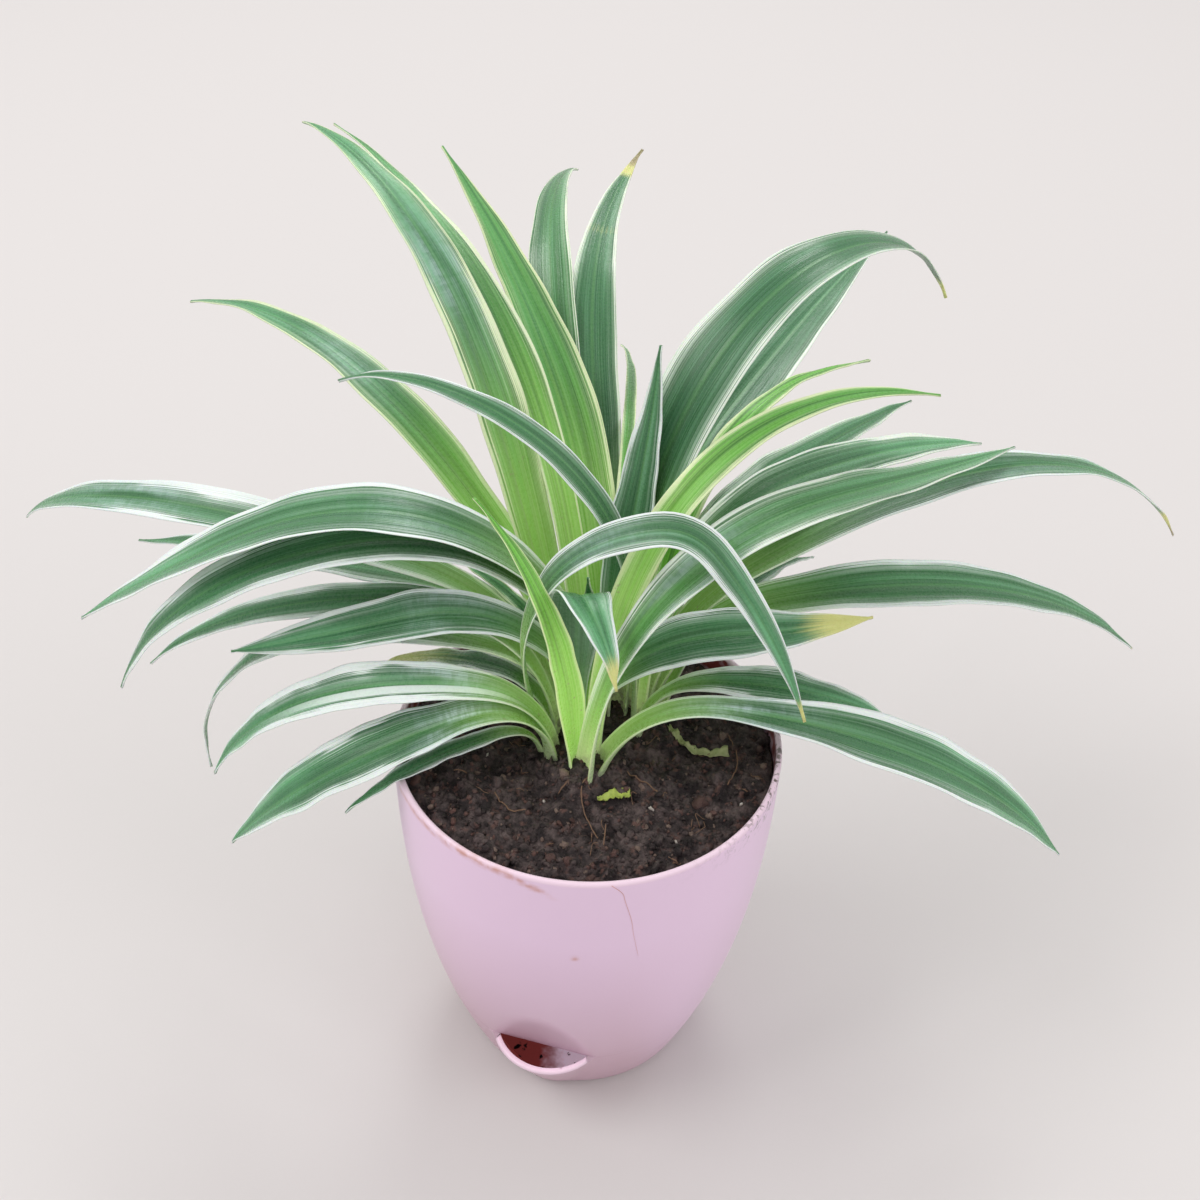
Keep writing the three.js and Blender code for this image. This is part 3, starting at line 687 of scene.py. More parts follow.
def leaf_surface(number, settings):
    """Closed blade around a midrib.

    Across the blade, v runs from -1 to 1 and bends on an arc whose half angle eases from the folded
    sheath at the foot to the open blade. The half width grows to the widest point and then closes
    with a power. Small waves lift the margins, a crease runs down the middle and shallow pleats
    follow the veins. Both faces lie half the thickness from that sheet, which thins to its margins.
    """
    row = LEAVES[number - 1]
    width, roll = row[9:]
    form = {**PLAIN_FORM, **FORMS.get(number, {})}
    draw = np.random.default_rng(number - 1)
    u = np.linspace(0.0, 1.0, LEAF_STATIONS)
    v = np.linspace(-1.0, 1.0, LEAF_COLUMNS)
    points, pitch, heading = midrib(row, form, u)
    points[0, 2] -= settings.foot_depth / MM

    along = ahead(pitch, heading)
    flat = np.stack([-np.sin(heading), np.cos(heading), np.zeros_like(heading)], axis=1)
    lean = np.radians(roll * smooth(u / 0.4) + form["twist"] * u * u)[:, None]
    side = flat * np.cos(lean) + np.cross(along, flat) * np.sin(lean)
    up = np.cross(along, side)

    widest, stalk = form["widest"], form["stalk"]
    petiole = form["petiole"] + settings.sheath_flare * bell(u / 0.07)
    opening = petiole + (1.0 - petiole) * smooth((u - stalk) / (widest - stalk))
    closing = 1.0 - np.maximum(0.0, (u - widest) / (1.0 - widest)) ** form["taper"]
    waver = 1.0 + 0.02 * np.sin(u * 23.0 + draw.uniform(0, 6)) + 0.015 * np.sin(u * 41.0 + draw.uniform(0, 6))
    half = np.maximum(TIP_HALF_WIDTH, 0.5 * width * opening * closing * waver)[:, None]
    fold = mix(SHEATH_FOLD, BLADE_FOLD, smooth(u / 0.35))[:, None]

    angle = fold * v
    outward = half * np.sin(angle) / fold
    lift = half * (1.0 - np.cos(angle)) / fold
    open_share = smooth((u - 0.2) / 0.3)[:, None]
    reach = half / 10.0
    crease = -0.55 * bell(v / 0.13) * reach
    pleats = 0.05 * np.cos(v * math.pi * 6.0) * reach
    wave = np.sin(u[:, None] * draw.uniform(26, 38) + v * 1.5 + draw.uniform(0, 6))
    wave += 0.6 * np.sin(u[:, None] * draw.uniform(50, 64) - v * 2.0 + draw.uniform(0, 6))
    waves = settings.margin_wave / MM * wave * v * v * np.sign(v + 0.01)
    lift = lift + open_share * (crease + pleats + waves)
    thick = settings.leaf_thickness / MM * (1.0 + 1.2 * smooth(1.0 - u / 0.3))[:, None] * (1.0 - 0.55 * v**4)

    def face(offset):
        sideways = (outward - offset * np.sin(angle))[..., None]
        height = (lift + offset * np.cos(angle))[..., None]
        return points[:, None] + sideways * side[:, None] + height * up[:, None]

    across = (np.concatenate([v, v[::-1]]) + 1.0) / 2.0
    uv = np.stack(np.broadcast_arrays(across[None, :], u[:, None]), axis=-1).reshape(-1, 2)
    return *sleeve(face(0.5 * thick), face(-0.5 * thick)), uv, leaf_values(number, u, draw)


def leaf_values(number, u, draw):
    """What the leaf finish reads at each point of a blade, from the shares u of its length.

    Youth fades with a smooth step towards the tip, the margin waves by a sine, and the stripe fades out
    at both ends. The stalk's own colour and its painted glow fade out past the stem. The painted sheen
    and the yellow spot are bells around their places. The tip dries with a smooth step between two
    shares. The back is 1 on the lower face.
    """
    look = {**PLAIN_LOOK, **LOOKS.get(number, {})}
    dry_from, dry_to = look["dry"]
    painted_sheen_at, bloom = look["bloom"]
    spot_at, spot = look["spot"]
    withered = look["withered"] * smooth((u - dry_from) / (dry_to - dry_from))
    faded = 1.0 - look["fade"] * smooth((u - 0.15) / 0.55)
    stem = u / look["stem"]
    values = {
        "tone": draw.uniform(0, 20),
        "youth": np.clip(1.25 * look["youth"] * faded, 0, 1),
        "margin": look["margin"] * (0.85 + 0.3 * np.sin(u * 7.0 + draw.uniform(0, 6))),
        "deep": look["deep"],
        "lime": look["lime"],
        "glow": look["glow"] * smooth(1.3 - stem),
        "bloom": bloom * bell((u - painted_sheen_at) / 0.09),
        "foot": look["foot"] * smooth(1.2 - stem),
        "dry": np.maximum(withered, spot * bell((u - spot_at) / 0.018)),
        "white": look["white"] * smooth((u - 0.1) / 0.15) * smooth((0.85 - u) / 0.3),
    }
    count = 2 * LEAF_COLUMNS
    values = {key: np.repeat(np.broadcast_to(value, u.shape), count) for key, value in values.items()}
    return {**values, "back": np.tile(np.repeat([0.0, 1.0], LEAF_COLUMNS), LEAF_STATIONS)}


# ---------------------------------------------------------------- pot
def pot_radius(z):
    """Outer radius of the plain wall: the rim's, less a share that grows with the distance below the rim."""
    return RIM_RADIUS * (1.0 - BASE_TAPER * np.clip(1.0 - z / POT_HEIGHT, 0.0, 1.0) ** TAPER_POWER)


def soft_max(a, b, width):
    """The larger of two radii, rounded over width where they cross."""
    return 0.5 * (a + b + np.sqrt((a - b) ** 2 + width * width))


def rounded_foot(z):
    """How far the foot's edge rounding draws the wall in at height z."""
    gap = np.clip(FOOT_ROUND - z, 0.0, FOOT_ROUND)
    return FOOT_ROUND - np.sqrt(FOOT_ROUND**2 - gap**2)


def recess_radius(angle, z):
    """Wall above the mouth: the plain wall or, where that is nearer, the leaning flat of the recess."""
    depth = -mix(MOUTH_Y, DENT_TOP_Y, (z - MOUTH_Z) / (DENT_TOP_Z - MOUTH_Z))
    flat = depth / np.maximum(np.cos(angle), 0.2)
    return -soft_max(-pot_radius(z), -flat, 0.4)


def scoop_radius(angle, z):
    """Wall below the mouth: the plain wall or, where that is farther, the leaning cone of the scoop."""
    share = (z - SCOOP_FOOT_Z) / (MOUTH_Z - SCOOP_FOOT_Z)
    radius = mix(SCOOP_FOOT_RADIUS, SCOOP_RADIUS, share)
    centre = -mix(SCOOP_FOOT_Y, SCOOP_Y, share)
    inside = np.maximum(radius**2 - (centre * np.sin(angle)) ** 2, 0.0)
    cone = centre * np.cos(angle) + np.sqrt(inside)
    return soft_max(pot_radius(z), np.where(np.cos(angle) > 0, cone, 0.0), 0.8) - rounded_foot(z)


def pot_surface():
    """Closed wall in polar form: a profile of (radius, z) is carried round the axis, and every radius
    also depends on the angle from the mouth. Between the two rows at the mouth's level the quads of
    the opening are left out, on both faces of the wall, and its edges are bridged.
    """
    front = np.linspace(-MOUTH_SPREAD, MOUTH_SPREAD, FRONT_COLUMNS)
    rest = np.linspace(MOUTH_SPREAD, 2 * math.pi - MOUTH_SPREAD, BACK_COLUMNS)[1:-1]
    angle = np.concatenate([front, rest])
    count = len(angle)
    by_mouth = np.abs(angle) < MOUTH_SPREAD
    apart = MOUTH_GAP * smooth((np.abs(angle) - MOUTH_CORNER) / math.radians(4))

    def ring(radius, z):
        return np.full(count, radius), np.full(count, z)

    rounding = FOOT_ROUND * (1 - np.cos(np.linspace(0, math.pi / 2, ROUND_ROWS)))[:-1]
    low_z = np.concatenate([rounding, np.linspace(FOOT_ROUND, MOUTH_Z, LOW_ROWS)])
    above = np.linspace(RECESS_END_Z, POT_HEIGHT - 0.5 * WALL, HIGH_ROWS)[1:]
    high_z = np.concatenate([np.linspace(MOUTH_Z, RECESS_END_Z, RECESS_ROWS), above])
    low = [(scoop_radius(angle, z), np.full(count, z)) for z in low_z]
    high = [(recess_radius(angle, z), np.full(count, z)) for z in high_z]
    low[-1] = (low[-1][0], MOUTH_Z - apart)
    high[0] = (high[0][0], MOUTH_Z + apart)

    rows = [ring(r, 0.0) for r in BASE_RINGS] + low + high
    mouth_outer = len(BASE_RINGS) + len(low) - 1
    bead = 0.5 * WALL
    for turn in np.linspace(0, math.pi, ROUND_ROWS)[1:-1]:
        out, up = bead * math.cos(turn), bead * math.sin(turn)
        rows.append(ring(RIM_RADIUS - bead + out, POT_HEIGHT - bead + up))
    inner = len(rows)
    rows += [(radius - WALL, z) for radius, z in reversed(high)]
    mouth_inner = len(rows) - 1
    lip_wall = np.where(by_mouth, SCOOP_WALL, WALL)
    for radius, z in reversed(low):
        if z[0] > FLOOR:
            lip_bead = np.where(by_mouth, LIP_BEAD * smooth((z - 25.0) / 6.0), 0.0)
            rows.append((radius - lip_wall - lip_bead, z))
    rows += [ring(r, FLOOR) for r in reversed(BASE_RINGS)]

    radius = np.stack([r for r, _ in rows])
    height = np.stack([z for _, z in rows])
    points = np.stack([radius * np.sin(angle), -radius * np.cos(angle), height], axis=-1).reshape(-1, 3)
    points = np.vstack([points, [(0.0, 0.0, 0.0), (0.0, 0.0, FLOOR)]])
    quads = grid_quads(len(rows), count).reshape(len(rows) - 1, count, 4)

    is_open = (radius[mouth_inner + 1] > radius[mouth_outer + 1] + 0.25) & by_mouth
    spans = is_open & np.roll(is_open, -1)
    keep = np.ones((len(rows) - 1, count), dtype=bool)
    keep[[mouth_outer, mouth_inner]] = ~spans
    at = np.flatnonzero(spans)
    beyond = (at + 1) % count
    out_low, out_high = mouth_outer * count, (mouth_outer + 1) * count
    in_high, in_low = mouth_inner * count, (mouth_inner + 1) * count
    lip_edge = np.stack([out_low + at, out_low + beyond, in_low + beyond, in_low + at], axis=1)
    top_edge = np.stack([in_high + at, in_high + beyond, out_high + beyond, out_high + at], axis=1)
    first, last = at[0], beyond[-1]
    ends = [
        [out_high + first, out_low + first, in_low + first, in_high + first],
        [out_low + last, out_high + last, in_high + last, in_low + last],
    ]
    faces = np.concatenate([quads[keep], lip_edge, top_edge, ends, pole_caps(len(rows), count)])
    lip = np.zeros(radius.shape)
    lip[mouth_outer, is_open] = 1.0
    lip[mouth_inner + 1, is_open] = 1.0
    inside = np.repeat(np.arange(len(rows)) >= inner, count)
    marks = pot_marks(np.tile(angle, len(rows)), height.ravel(), radius.ravel(), inside, lip.ravel())
    return points, faces, marks


def pot_marks(angle, z, radius, inside, lip):
    """What the pot finish reads at each point, from degrees round from the mouth, height and radius.

    On the outer face the orange-brown line under the rim is a bell around a line that falls away on both
    sides of its highest place, the recess, where painted shade goes, counts where the wall lies inside the
    plain one, and the dot is a bell both ways. Dust is a bell around the wall's right side, near the rim.
    On the inner face, inside is 1 behind the mouth, where painted light, painted shade and a painted glow
    go, and the painted shade near the rim grows with the height and towards the back. Two zeros stand
    for the two points on the axis.
    """
    turn = np.degrees((angle + math.pi) % (2 * math.pi) - math.pi)
    line = 139.8 - 0.0021 * (turn + 20.0) ** 2 - 0.35 * np.maximum(0.0, turn + 5.0)
    reach = smooth((turn + 60.0) / 12.0) * smooth((9.0 - turn) / 8.0)
    recess = smooth((pot_radius(z) - radius - 0.2) / 1.2) * (np.abs(turn) < 60.0) * (z > MOUTH_Z - 1.0)
    marks = {
        "rim_line": 0.85 * reach * bell((z - line) / 1.1) * ~inside,
        "dust": smooth((z - 131.0) / 8.0) * bell((turn - 88.0) / 26.0),
        "recess": 0.35 * recess * ~inside,
        "inside": inside * (z < 37.0) * (np.abs(turn) < 50.0),
        "inner_rim_shade": inside * smooth((z - 128.0) / 4.0) * smooth((np.abs(turn) - 45.0) / 30.0),
        "dot": 0.8 * bell((turn - 12.8) / 0.9) * bell((z - 104.0) / 0.8) * ~inside,
        "lip": lip,
    }
    return {key: np.concatenate([mark, [0.0, 0.0]]) for key, mark in marks.items()}


# ---------------------------------------------------------------- soil
def value_noise(x, y, scale, seed):
    """Smooth noise between -1 and 1: seeded values on a square lattice, blended with smooth steps."""
    side = 64
    lattice = np.random.default_rng(seed).uniform(-1.0, 1.0, (side, side))
    fx, fy = x / scale + side / 2, y / scale + side / 2
    ix, iy = np.floor(fx).astype(int), np.floor(fy).astype(int)
    tx, ty = smooth(fx - ix), smooth(fy - iy)
    near = mix(lattice[ix % side, iy % side], lattice[(ix + 1) % side, iy % side], tx)
    far = mix(lattice[ix % side, (iy + 1) % side], lattice[(ix + 1) % side, (iy + 1) % side], tx)
    return mix(near, far, ty)


def soil_height(x, y):
    """Level of the soil's top: a low mound, heaped round the shoots, sunk a little at the wall, with
    lumps of five sizes; the sum of smooth noises that are lower the smaller they are.
    """
    reach = np.hypot(x, y) / RIM_RADIUS
    level = SOIL_Z + 1.6 + SOIL_MOUND * (1.0 - reach**2) - 0.8 * smooth((reach - 0.85) / 0.12)
    for centre_x, centre_y, spread in SHOOT_CENTRES:
        level = level + 2.6 * bell(((x - centre_x) ** 2 + (y - centre_y) ** 2) / spread**2)
    heap_x, heap_y, spread, height = FRONT_HEAP
    level = level + height * np.exp(-((x - heap_x) ** 2 + (y - heap_y) ** 2) / spread**2)
    for scale, height, seed in SOIL_LUMPS:
        level = level + height * value_noise(x, y, scale, seed)
    return level


def soil_surface():
    """Closed lump of soil: rings of points from the middle of the top to the wall, with the height of
    soil_height, then down the inside of the wall to a flat underside.
    """
    angle = np.linspace(0.0, 2.0 * math.pi, SOIL_SPOKES, endpoint=False)
    radius, turn = np.meshgrid(np.linspace(0.4, 62.4, SOIL_RINGS), angle, indexing="ij")
    x, y = radius * np.cos(turn), radius * np.sin(turn)
    rows = list(np.stack([x, y, soil_height(x, y)], axis=-1))
    for r, z in ((62.0, 118.0), (58.0, SOIL_UNDER), (20.0, SOIL_UNDER), (0.4, SOIL_UNDER)):
        rows.append(np.stack([r * np.cos(angle), r * np.sin(angle), np.full(SOIL_SPOKES, z)], axis=-1))
    top = soil_height(np.zeros(1), np.zeros(1))[0]
    points = np.vstack([*rows, [(0.0, 0.0, top), (0.0, 0.0, SOIL_UNDER)]])
    return points, np.concatenate([grid_quads(len(rows), SOIL_SPOKES), pole_caps(len(rows), SOIL_SPOKES)])


def lumps(places, sizes, rings, spokes, seed):
    """Many small closed lumps in one mesh: a sphere's grid of rings and spokes, whose radius is changed
    by seeded noise and whose three axes have seeded lengths and turns, is set down at every place.
    """
    draw = np.random.default_rng(seed)
    count = len(places)
    polar = np.linspace(0.0, math.pi, rings + 2)[1:-1]
    turn = np.linspace(0.0, 2.0 * math.pi, spokes, endpoint=False)
    a, b = np.meshgrid(polar, turn, indexing="ij")
    ball = np.stack([np.sin(a) * np.cos(b), np.sin(a) * np.sin(b), np.cos(a)], axis=-1).reshape(-1, 3)
    ball = np.vstack([ball, [[0.0, 0.0, 1.0], [0.0, 0.0, -1.0]]])
    rough = draw.uniform(0.5, 1.35, (count, len(ball), 1))
    axes = draw.uniform(0.5, 1.3, (count, 1, 3))
    yaw, tilt = draw.uniform(0, 2 * math.pi, (2, count, 1))
    x, y, z = np.moveaxis(ball[None] * rough * axes * np.asarray(sizes)[:, None, None], -1, 0)
    y, z = y * np.cos(tilt) - z * np.sin(tilt), y * np.sin(tilt) + z * np.cos(tilt)
    x, y = x * np.cos(yaw) - y * np.sin(yaw), x * np.sin(yaw) + y * np.cos(yaw)
    points = (np.stack([x, y, z], axis=-1) + np.asarray(places)[:, None]).reshape(-1, 3)

    one = np.concatenate([grid_quads(rings, spokes), pole_caps(rings, spokes)])
    return points, (one[None] + (np.arange(count) * len(ball))[:, None, None]).reshape(-1, 4)


def scattered(count, low, high, seed):
    """Seeded places on the soil between two radii, even over the area, at the soil's height."""
    draw = np.random.default_rng(seed)
    radius = np.sqrt(draw.uniform(low**2, high**2, count))
    angle = draw.uniform(0.0, 2.0 * math.pi, count)
    x, y = radius * np.cos(angle), radius * np.sin(angle)
    return np.stack([x, y, soil_height(x, y)], axis=1)


# ---------------------------------------------------------------- litter
def tube(path, radii):
    """Closed round thread along a path: rings square to the path, with a radius for each point."""
    sides = 6
    along = unit(np.gradient(path, axis=0))
    aside = unit(np.cross(along, (0.0, 0.31, 0.95)))
    over = np.cross(along, aside)
    turn = np.linspace(0.0, 2.0 * math.pi, sides, endpoint=False)[None, :, None]
    ring = np.cos(turn) * aside[:, None] + np.sin(turn) * over[:, None]
    points = path[:, None] + np.broadcast_to(radii, len(path))[:, None, None] * ring
    start = np.array([[0, 1, 2, 3], [0, 3, 4, 5]])
    end = start + (len(path) - 1) * sides
    return points.reshape(-1, 3), np.concatenate([grid_quads(len(path), sides), start[:, ::-1], end])


def ribbon(path, half_widths, thickness, seed):
    """Closed thin strip along a path: seven points across, which rise to both edges by a square and are
    crinkled by seeded heights, on two faces.
    """
    v = np.linspace(-1.0, 1.0, 7)
    along = unit(np.gradient(path, axis=0))
    side = unit(np.cross(along, (0.0, 0.0, 1.0)))
    draw = np.random.default_rng(seed)
    half = half_widths[:, None] * (1.0 + draw.uniform(-0.25, 0.25, (len(path), 1)))
    lift = 0.9 * v**2 + draw.uniform(-0.25, 0.25, (len(path), len(v)))
    bottom = path[:, None] + (half * v)[..., None] * side[:, None]
    bottom[..., 2] += lift
    return sleeve(bottom + (0.0, 0.0, thickness), bottom)


def joined(parts):
    """One point list and one quad list from several."""
    points, faces, start = [], [], 0
    for part_points, part_faces in parts:
        points.append(part_points)
        faces.append(part_faces + start)
        start += len(part_points)
    return np.vstack(points), np.vstack(faces)


def smooth_path(knots, count):
    """Catmull-Rom curve through knots of two numbers, sampled evenly in its parameter, as two rows."""
    knots = np.asarray(knots, dtype=float)
    padded = np.vstack([2 * knots[0] - knots[1], knots, 2 * knots[-1] - knots[-2]])
    t = np.linspace(0.0, len(knots) - 1.000001, count)
    i = np.floor(t).astype(int)
    f = (t - i)[:, None]
    a, b, c, d = (padded[i + k] for k in range(4))
    curve = 2 * b + (c - a) * f + (2 * a - 5 * b + 4 * c - d) * f**2 + (3 * b - a - 3 * c + d) * f**3
    return 0.5 * curve.T


def on_soil(knots, above, count=40):
    """Smooth path over the soil through (x, y) knots, lifted above it."""
    x, y = smooth_path(knots, count)
    return np.stack([x, y, soil_height(x, y) + above], axis=1)


def on_wall(knots, proud, count=40):
    """Smooth path down the outside of the pot through (angle from -Y in degrees, z) knots."""
    degrees, z = smooth_path(knots, count)
    angle, radius = np.radians(degrees), pot_radius(z) + proud
    return np.stack([radius * np.sin(angle), -radius * np.cos(angle), z], axis=1)


# ---------------------------------------------------------------- settings
def colour(name, text, red, green, blue):
    """Colour setting whose default is given in screen values."""
    return bpy.props.FloatVectorProperty(
        name=name, description=text, subtype="COLOR", size=4, min=0.0, max=1.0, default=rgb(red, green, blue)
    )


def length(name, text, millimetres):
    """Length setting whose default is given in millimetres."""
    return bpy.props.FloatProperty(
        name=name, description=text, unit="LENGTH", subtype="DISTANCE", min=0.0, default=millimetres * MM
    )


class SpiderPlantSizes(bpy.types.PropertyGroup):
    """Sizes that can be changed without a new frame."""

    leaf_thickness: length("Leaf thickness", "Thickness of a blade at its middle vein", 0.7)
    margin_wave: length("Margin wave", "How far a blade's margins wave up and down", 0.35)
    foot_depth: length("Foot depth", "How deep a leaf's foot stands in the soil", 5)
    sheath_flare: bpy.props.FloatProperty(
        name="Sheath flare", description="Share of its width that a leaf's foot gains", default=0.16, min=0.0
    )
    crumb_size: length("Crumb size", "Mean size of a loose crumb of soil", 0.62)
    crumbs: bpy.props.IntProperty(name="Crumbs", description="How many loose crumbs", default=5000, min=0)


class SpiderPlantColours(bpy.types.PropertyGroup):
    """Colours of the plant, the soil, the pot and the floor."""

    leaf_dark: colour("Leaf dark", "Inner half and darker streaks of a mature blade", 44, 92, 58)
    leaf_green: colour("Leaf green", "Main green of a mature blade", 78, 142, 94)
    leaf_light: colour("Leaf light", "Lighter veins and streaks of a mature blade", 136, 192, 154)
    leaf_tip: colour("Leaf end", "Green of the blade's outer half", 108, 178, 128)
    young_dark: colour("Young dark", "Darker veins of a young blade", 60, 126, 36)
    young_green: colour("Young green", "Main green of a young blade", 116, 198, 60)
    young_light: colour("Young light", "Lightest green of a young blade", 168, 232, 112)
    leaf_vein: colour("Middle vein", "Line along the middle of a blade", 122, 184, 108)
    # Painted sheen: a pale colour laid on a blade's bend in place of a highlight.
    leaf_painted_sheen: colour("Sheen", "Waxy light on a blade's bend", 206, 228, 232)
    margin_mint: colour("Margin", "Pale margin and streaks of a mature blade", 242, 252, 253)
    margin_young: colour("Young margin", "Pale margin of a young blade", 230, 246, 190)
    foot_green: colour("Foot green", "Green of a leaf's foot", 160, 216, 92)
    foot_pale: colour("Foot pale", "Palest part of a leaf's foot", 226, 240, 178)
    back_grey: colour("Back", "Tint of a blade's lower face", 128, 156, 130)
    tip_yellow: colour("Dry yellow", "Yellowing tip", 232, 230, 148)
    tip_brown: colour("Dry brown", "Dead end of a tip", 160, 146, 122)
    pot_lilac: colour("Pot lilac", "Main colour of the pot", 236, 208, 235)
    # Painted shade towards the pot's foot.
    pot_foot_shade: colour("Pot rose", "Rosier plastic towards the foot", 199, 164, 178)
    # Paler clouds in the plastic, and the painted light behind the fill mouth.
    pot_cloud_and_painted_light: colour("Pot light", "Paler clouds in the pot's plastic", 236, 210, 230)
    # Painted highlight on the rim and lip.
    pot_edge_highlight: colour("Pot edge", "Rim and lip, where the plastic is palest", 246, 220, 236)
    # Painted shade in the recess above the fill mouth.
    pot_recess_shade: colour("Pot recess", "Duller plastic above the fill mouth", 176, 146, 160)
    # Orange-brown of the line under the rim, the dot and the wall root.
    pot_orange_brown: colour("Pot stain", "Tide line under the rim", 196, 128, 98)
    # Painted red-brown shade: the false bottom, the left of the fill mouth's inside and the inner wall near
    # the rim.
    inner_shade_red: colour("False bottom", "Plastic of the false bottom and the film that it leaves", 132, 56, 54)
    # Painted darker shade in the false bottom's clouds.
    inner_shade_dark: colour("False bottom dark", "Damp plastic of the false bottom", 70, 26, 28)
    soil_dark: colour("Soil dark", "Darkest soil", 47, 40, 41)
    soil_brown: colour("Soil brown", "Main colour of the soil", 110, 96, 94)
    soil_red: colour("Soil red", "Reddish crumbs", 120, 88, 80)
    soil_light: colour("Soil light", "Pale fibres in the soil", 152, 136, 124)
    root_tan: colour("Root", "Dry root hairs and straw", 150, 118, 92)
    root_pale: colour("Root pale", "Pale root hair on the wall", 234, 190, 182)
    root_dark: colour("Root dark", "Darker stretches of a root hair", 98, 72, 56)
    speck_white: colour("Speck", "White grains in the soil", 214, 212, 206)
    scrap_green: colour("Scrap green", "Fallen scraps of leaf", 142, 162, 92)
    scrap_pale: colour("Scrap pale", "Faded side of the crinkled scrap", 208, 206, 162)
    scrap_yellow: colour("Scrap yellow", "Brighter side of a fallen scrap", 200, 214, 92)
    floor: colour("Floor", "Studio floor", 215, 212, 211)


# ---------------------------------------------------------------- operators
def sizes_of(context):
    return context.scene.spider_plant_sizes


def colours_of(context):
    return context.scene.spider_plant_colours


def dress(node, material):
    """Gives a node of the frame a new material and leaves its mesh alone."""
    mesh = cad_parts[node].data
    mesh.materials.clear()
    mesh.materials.append(material)


class SPIDERPLANT_OT_pot(bpy.types.Operator):
    """Builds the pot in one moulding, with its fill mouth, and dresses the false bottom inside it"""

    bl_idname = "spider_plant.pot"
    bl_label = "Pot"

    def execute(self, context):
        colours = colours_of(context)
        points, faces, marks = pot_surface()
        plastic = pot_finish(colours)
        add_piece("pot_moulding", points, faces, plastic, "pot_plastic", ("pot",), values=marks)
        dress("false_bottom", inner_plastic_finish(colours))
        return {"FINISHED"}


class SPIDERPLANT_OT_soil(bpy.types.Operator):
    """Builds the heaped potting mix and dresses the rootstock that stands in it"""

    bl_idname = "spider_plant.soil"
    bl_label = "Soil"

    def execute(self, context):
        colours = colours_of(context)
        add_piece("soil_heap", *soil_surface(), soil_finish(colours, "soil_crumbs"), "soil", ("soil",))
        dress("rootstock", fibre_finish("rootstock_skin", colours.foot_green, colours.soil_brown))
        return {"FINISHED"}


class SPIDERPLANT_OT_crumbs(bpy.types.Operator):
    """Scatters loose crumbs and white grains over the soil"""

    bl_idname = "spider_plant.crumbs"
    bl_label = "Crumbs"

    def execute(self, context):
        sizes, colours = sizes_of(context), colours_of(context)
        draw = np.random.default_rng(11)
        fine = sizes.crumb_size / MM * np.exp(draw.normal(0.0, 0.5, sizes.crumbs))
        coarse = draw.uniform(0.8, 1.7, CLODS)
        loose = soil_finish(colours, "loose_crumbs")
        for name, places, size, rings, spokes in (
            ("soil_crumbs", scattered(sizes.crumbs, 0.0, 61.0, 12), fine, 3, 6),
            ("soil_clods", scattered(CLODS, 0.0, 58.5, 15), coarse, 6, 10),
        ):
            points, faces = lumps(places, size, rings, spokes, 13)
            tint = np.repeat(draw.uniform(0.0, 1.0, len(places)), len(points) // len(places))
            add_piece(name, points, faces, loose, "soil", values={"tint": tint})
        x, y = np.transpose(WHITE_SPECKS)
        specks = np.stack([x, y, soil_height(x, y) + 0.5], axis=1)
        grains = fibre_finish("white_grains", colours.speck_white, colours.soil_light)
        add_piece("white_grains", *lumps(specks, np.full(len(x), SPECK_SIZE), 3, 6, 14), grains, "soil")
        return {"FINISHED"}


class SPIDERPLANT_OT_litter(bpy.types.Operator):
    """Lays the root hairs, the straw and two fallen scraps of leaf on the soil and the wall"""

    bl_idname = "spider_plant.litter"
    bl_label = "Litter"

    def execute(self, context):
        colours = colours_of(context)
        threads = [tube(on_soil(knots, 1.3), ROOT_RADIUS) for knots in SOIL_ROOTS]
        draw = np.random.default_rng(31)
        for x, y, _ in scattered(FIBRES, 8.0, 58.0, 32):
            knots = np.array([x, y]) + np.cumsum(draw.normal(0.0, 2.2, (3, 2)), axis=0)
            knots *= min(1.0, 60.0 / np.hypot(*knots.T).max())
            threads.append(tube(on_soil(knots, 1.2, 12), FIBRE_RADIUS))
        wall_root = tube(on_wall(WALL_ROOT, 0.08), np.linspace(0.08, 0.03, 40))
        rounded = 2.0 * np.sin(np.linspace(0.25, math.pi - 0.9, 24))
        waved = np.linspace(0.8, 1.8, 36) * (0.7 + 0.5 * np.abs(np.sin(np.linspace(0.0, 8.0, 36))))
        fallen = ribbon(on_soil(SCRAP, 0.8, 24), rounded, 0.4, 21)
        crinkled = ribbon(on_soil(CRINKLED_SCRAP, 0.7, 36), waved, 0.35, 22)
        for name, surface, finish, light, dark, slot in (
            ("root_hairs", joined(threads), "root_hair", colours.root_tan, colours.root_dark, "soil"),
            ("wall_root", wall_root, "pale_root", colours.root_pale, colours.pot_orange_brown, "soil"),
            ("fallen_scrap", fallen, "leaf_scrap", colours.scrap_yellow, colours.scrap_green, "leaf"),
            ("crinkled_scrap", crinkled, "pale_scrap", colours.scrap_pale, colours.scrap_green, "leaf"),
        ):
            add_piece(name, *surface, fibre_finish(finish, light, dark), slot)
        return {"FINISHED"}


class SPIDERPLANT_OT_leaves(bpy.types.Operator):
    """Builds every leaf over its midrib, one piece each"""

    bl_idname = "spider_plant.leaves"
    bl_label = "Leaves"

    def execute(self, context):
        material = leaf_finish(colours_of(context))
        for number in range(1, len(LEAVES) + 1):
            points, faces, uv, values = leaf_surface(number, sizes_of(context))
            node = f"leaf_{number:02d}"
            add_piece(f"blade_{number:02d}", points, faces, material, "leaf", (node,), uv, values)
        return {"FINISHED"}


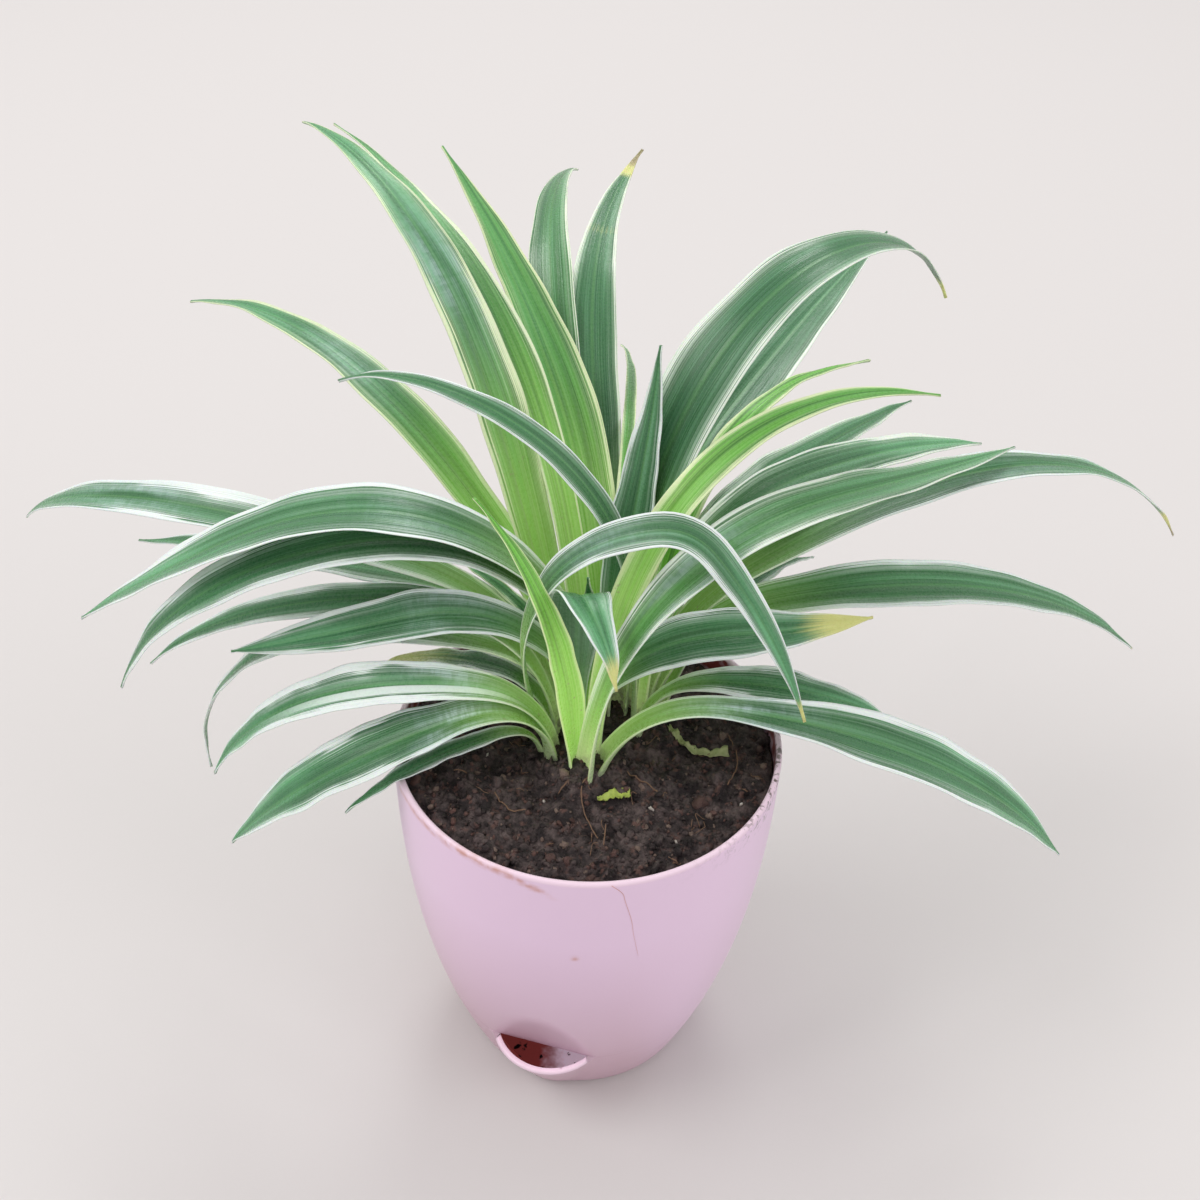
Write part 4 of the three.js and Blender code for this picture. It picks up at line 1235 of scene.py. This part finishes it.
class SPIDERPLANT_OT_stage(bpy.types.Operator):
    """Sets the pale floor, the soft lights and the camera at the photograph's angle"""

    bl_idname = "spider_plant.stage"
    bl_label = "Stage"

    def execute(self, context):
        scene = context.scene
        mesh = bpy.data.meshes.new("floor")
        corners = [(x * FLOOR_REACH, y * FLOOR_REACH, 0) for x, y in ((-1, -1), (1, -1), (1, 1), (-1, 1))]
        mesh.from_pydata(corners, [], [(0, 1, 2, 3)])
        mesh.materials.append(floor_finish(colours_of(context)))
        floor = placed("floor", mesh)

        world = bpy.data.worlds.new("studio")
        world.use_nodes = True
        sky = world.node_tree.nodes["Background"]
        sky.inputs["Color"].default_value = rgb(*WORLD_COLOUR)
        sky.inputs["Strength"].default_value = WORLD_STRENGTH
        scene.world = world
        for name, place, size, power, tint in LIGHTS:
            light = bpy.data.lights.new(name, "AREA")
            light.shape = "DISK"
            light.size = size
            light.energy = power
            light.color = tint
            aim = (Vector(place) - Vector(LIGHT_TARGET)).normalized()
            turned = aim.to_track_quat("Z", "Y").to_matrix().to_4x4()
            placed(name, light).matrix_world = Matrix.Translation(place) @ turned

        camera = bpy.data.cameras.new("camera")
        camera.lens = CAMERA_LENS
        camera.sensor_width = CAMERA_SENSOR
        level = Vector((math.cos(CAMERA_AZIMUTH), math.sin(CAMERA_AZIMUTH), 0))
        away = Vector((-level.y, level.x, 0))
        view = math.cos(CAMERA_DROP) * away - math.sin(CAMERA_DROP) * Vector((0, 0, 1))
        over = level.cross(view)
        right = math.cos(CAMERA_ROLL) * level + math.sin(CAMERA_ROLL) * over
        top = math.cos(CAMERA_ROLL) * over - math.sin(CAMERA_ROLL) * level
        turned = Matrix((right, top, -view)).transposed().to_4x4()
        scene.camera = placed("camera", camera)
        scene.camera.matrix_world = Matrix.Translation(Vector(CAMERA_PLACE) * MM) @ turned
        scene.view_settings.view_transform = "Standard"
        return {"FINISHED"}


class SPIDERPLANT_PT_panel(bpy.types.Panel):
    """Lists the steps, sizes and colours"""

    bl_idname = "SPIDERPLANT_PT_panel"
    bl_label = "Potted spider plant"
    bl_space_type = "VIEW_3D"
    bl_region_type = "UI"
    bl_category = "Spider plant"

    def draw(self, context):
        layout = self.layout
        for operator in STEPS:
            layout.operator(operator.bl_idname)
        for group in (sizes_of(context), colours_of(context)):
            for key in group.__annotations__:
                layout.prop(group, key)


STEPS = (
    SPIDERPLANT_OT_pot,
    SPIDERPLANT_OT_soil,
    SPIDERPLANT_OT_crumbs,
    SPIDERPLANT_OT_litter,
    SPIDERPLANT_OT_leaves,
    SPIDERPLANT_OT_stage,
)
CLASSES = (SpiderPlantSizes, SpiderPlantColours, *STEPS, SPIDERPLANT_PT_panel)


def register():
    for item in CLASSES:
        bpy.utils.register_class(item)
    bpy.types.Scene.spider_plant_sizes = bpy.props.PointerProperty(type=SpiderPlantSizes)
    bpy.types.Scene.spider_plant_colours = bpy.props.PointerProperty(type=SpiderPlantColours)


def unregister():
    del bpy.types.Scene.spider_plant_colours
    del bpy.types.Scene.spider_plant_sizes
    for item in reversed(CLASSES):
        bpy.utils.unregister_class(item)


def main():
    register()
    for operator in STEPS:
        group, action = operator.bl_idname.split(".")
        getattr(getattr(bpy.ops, group), action)()


if __name__ == "__main__":
    main()
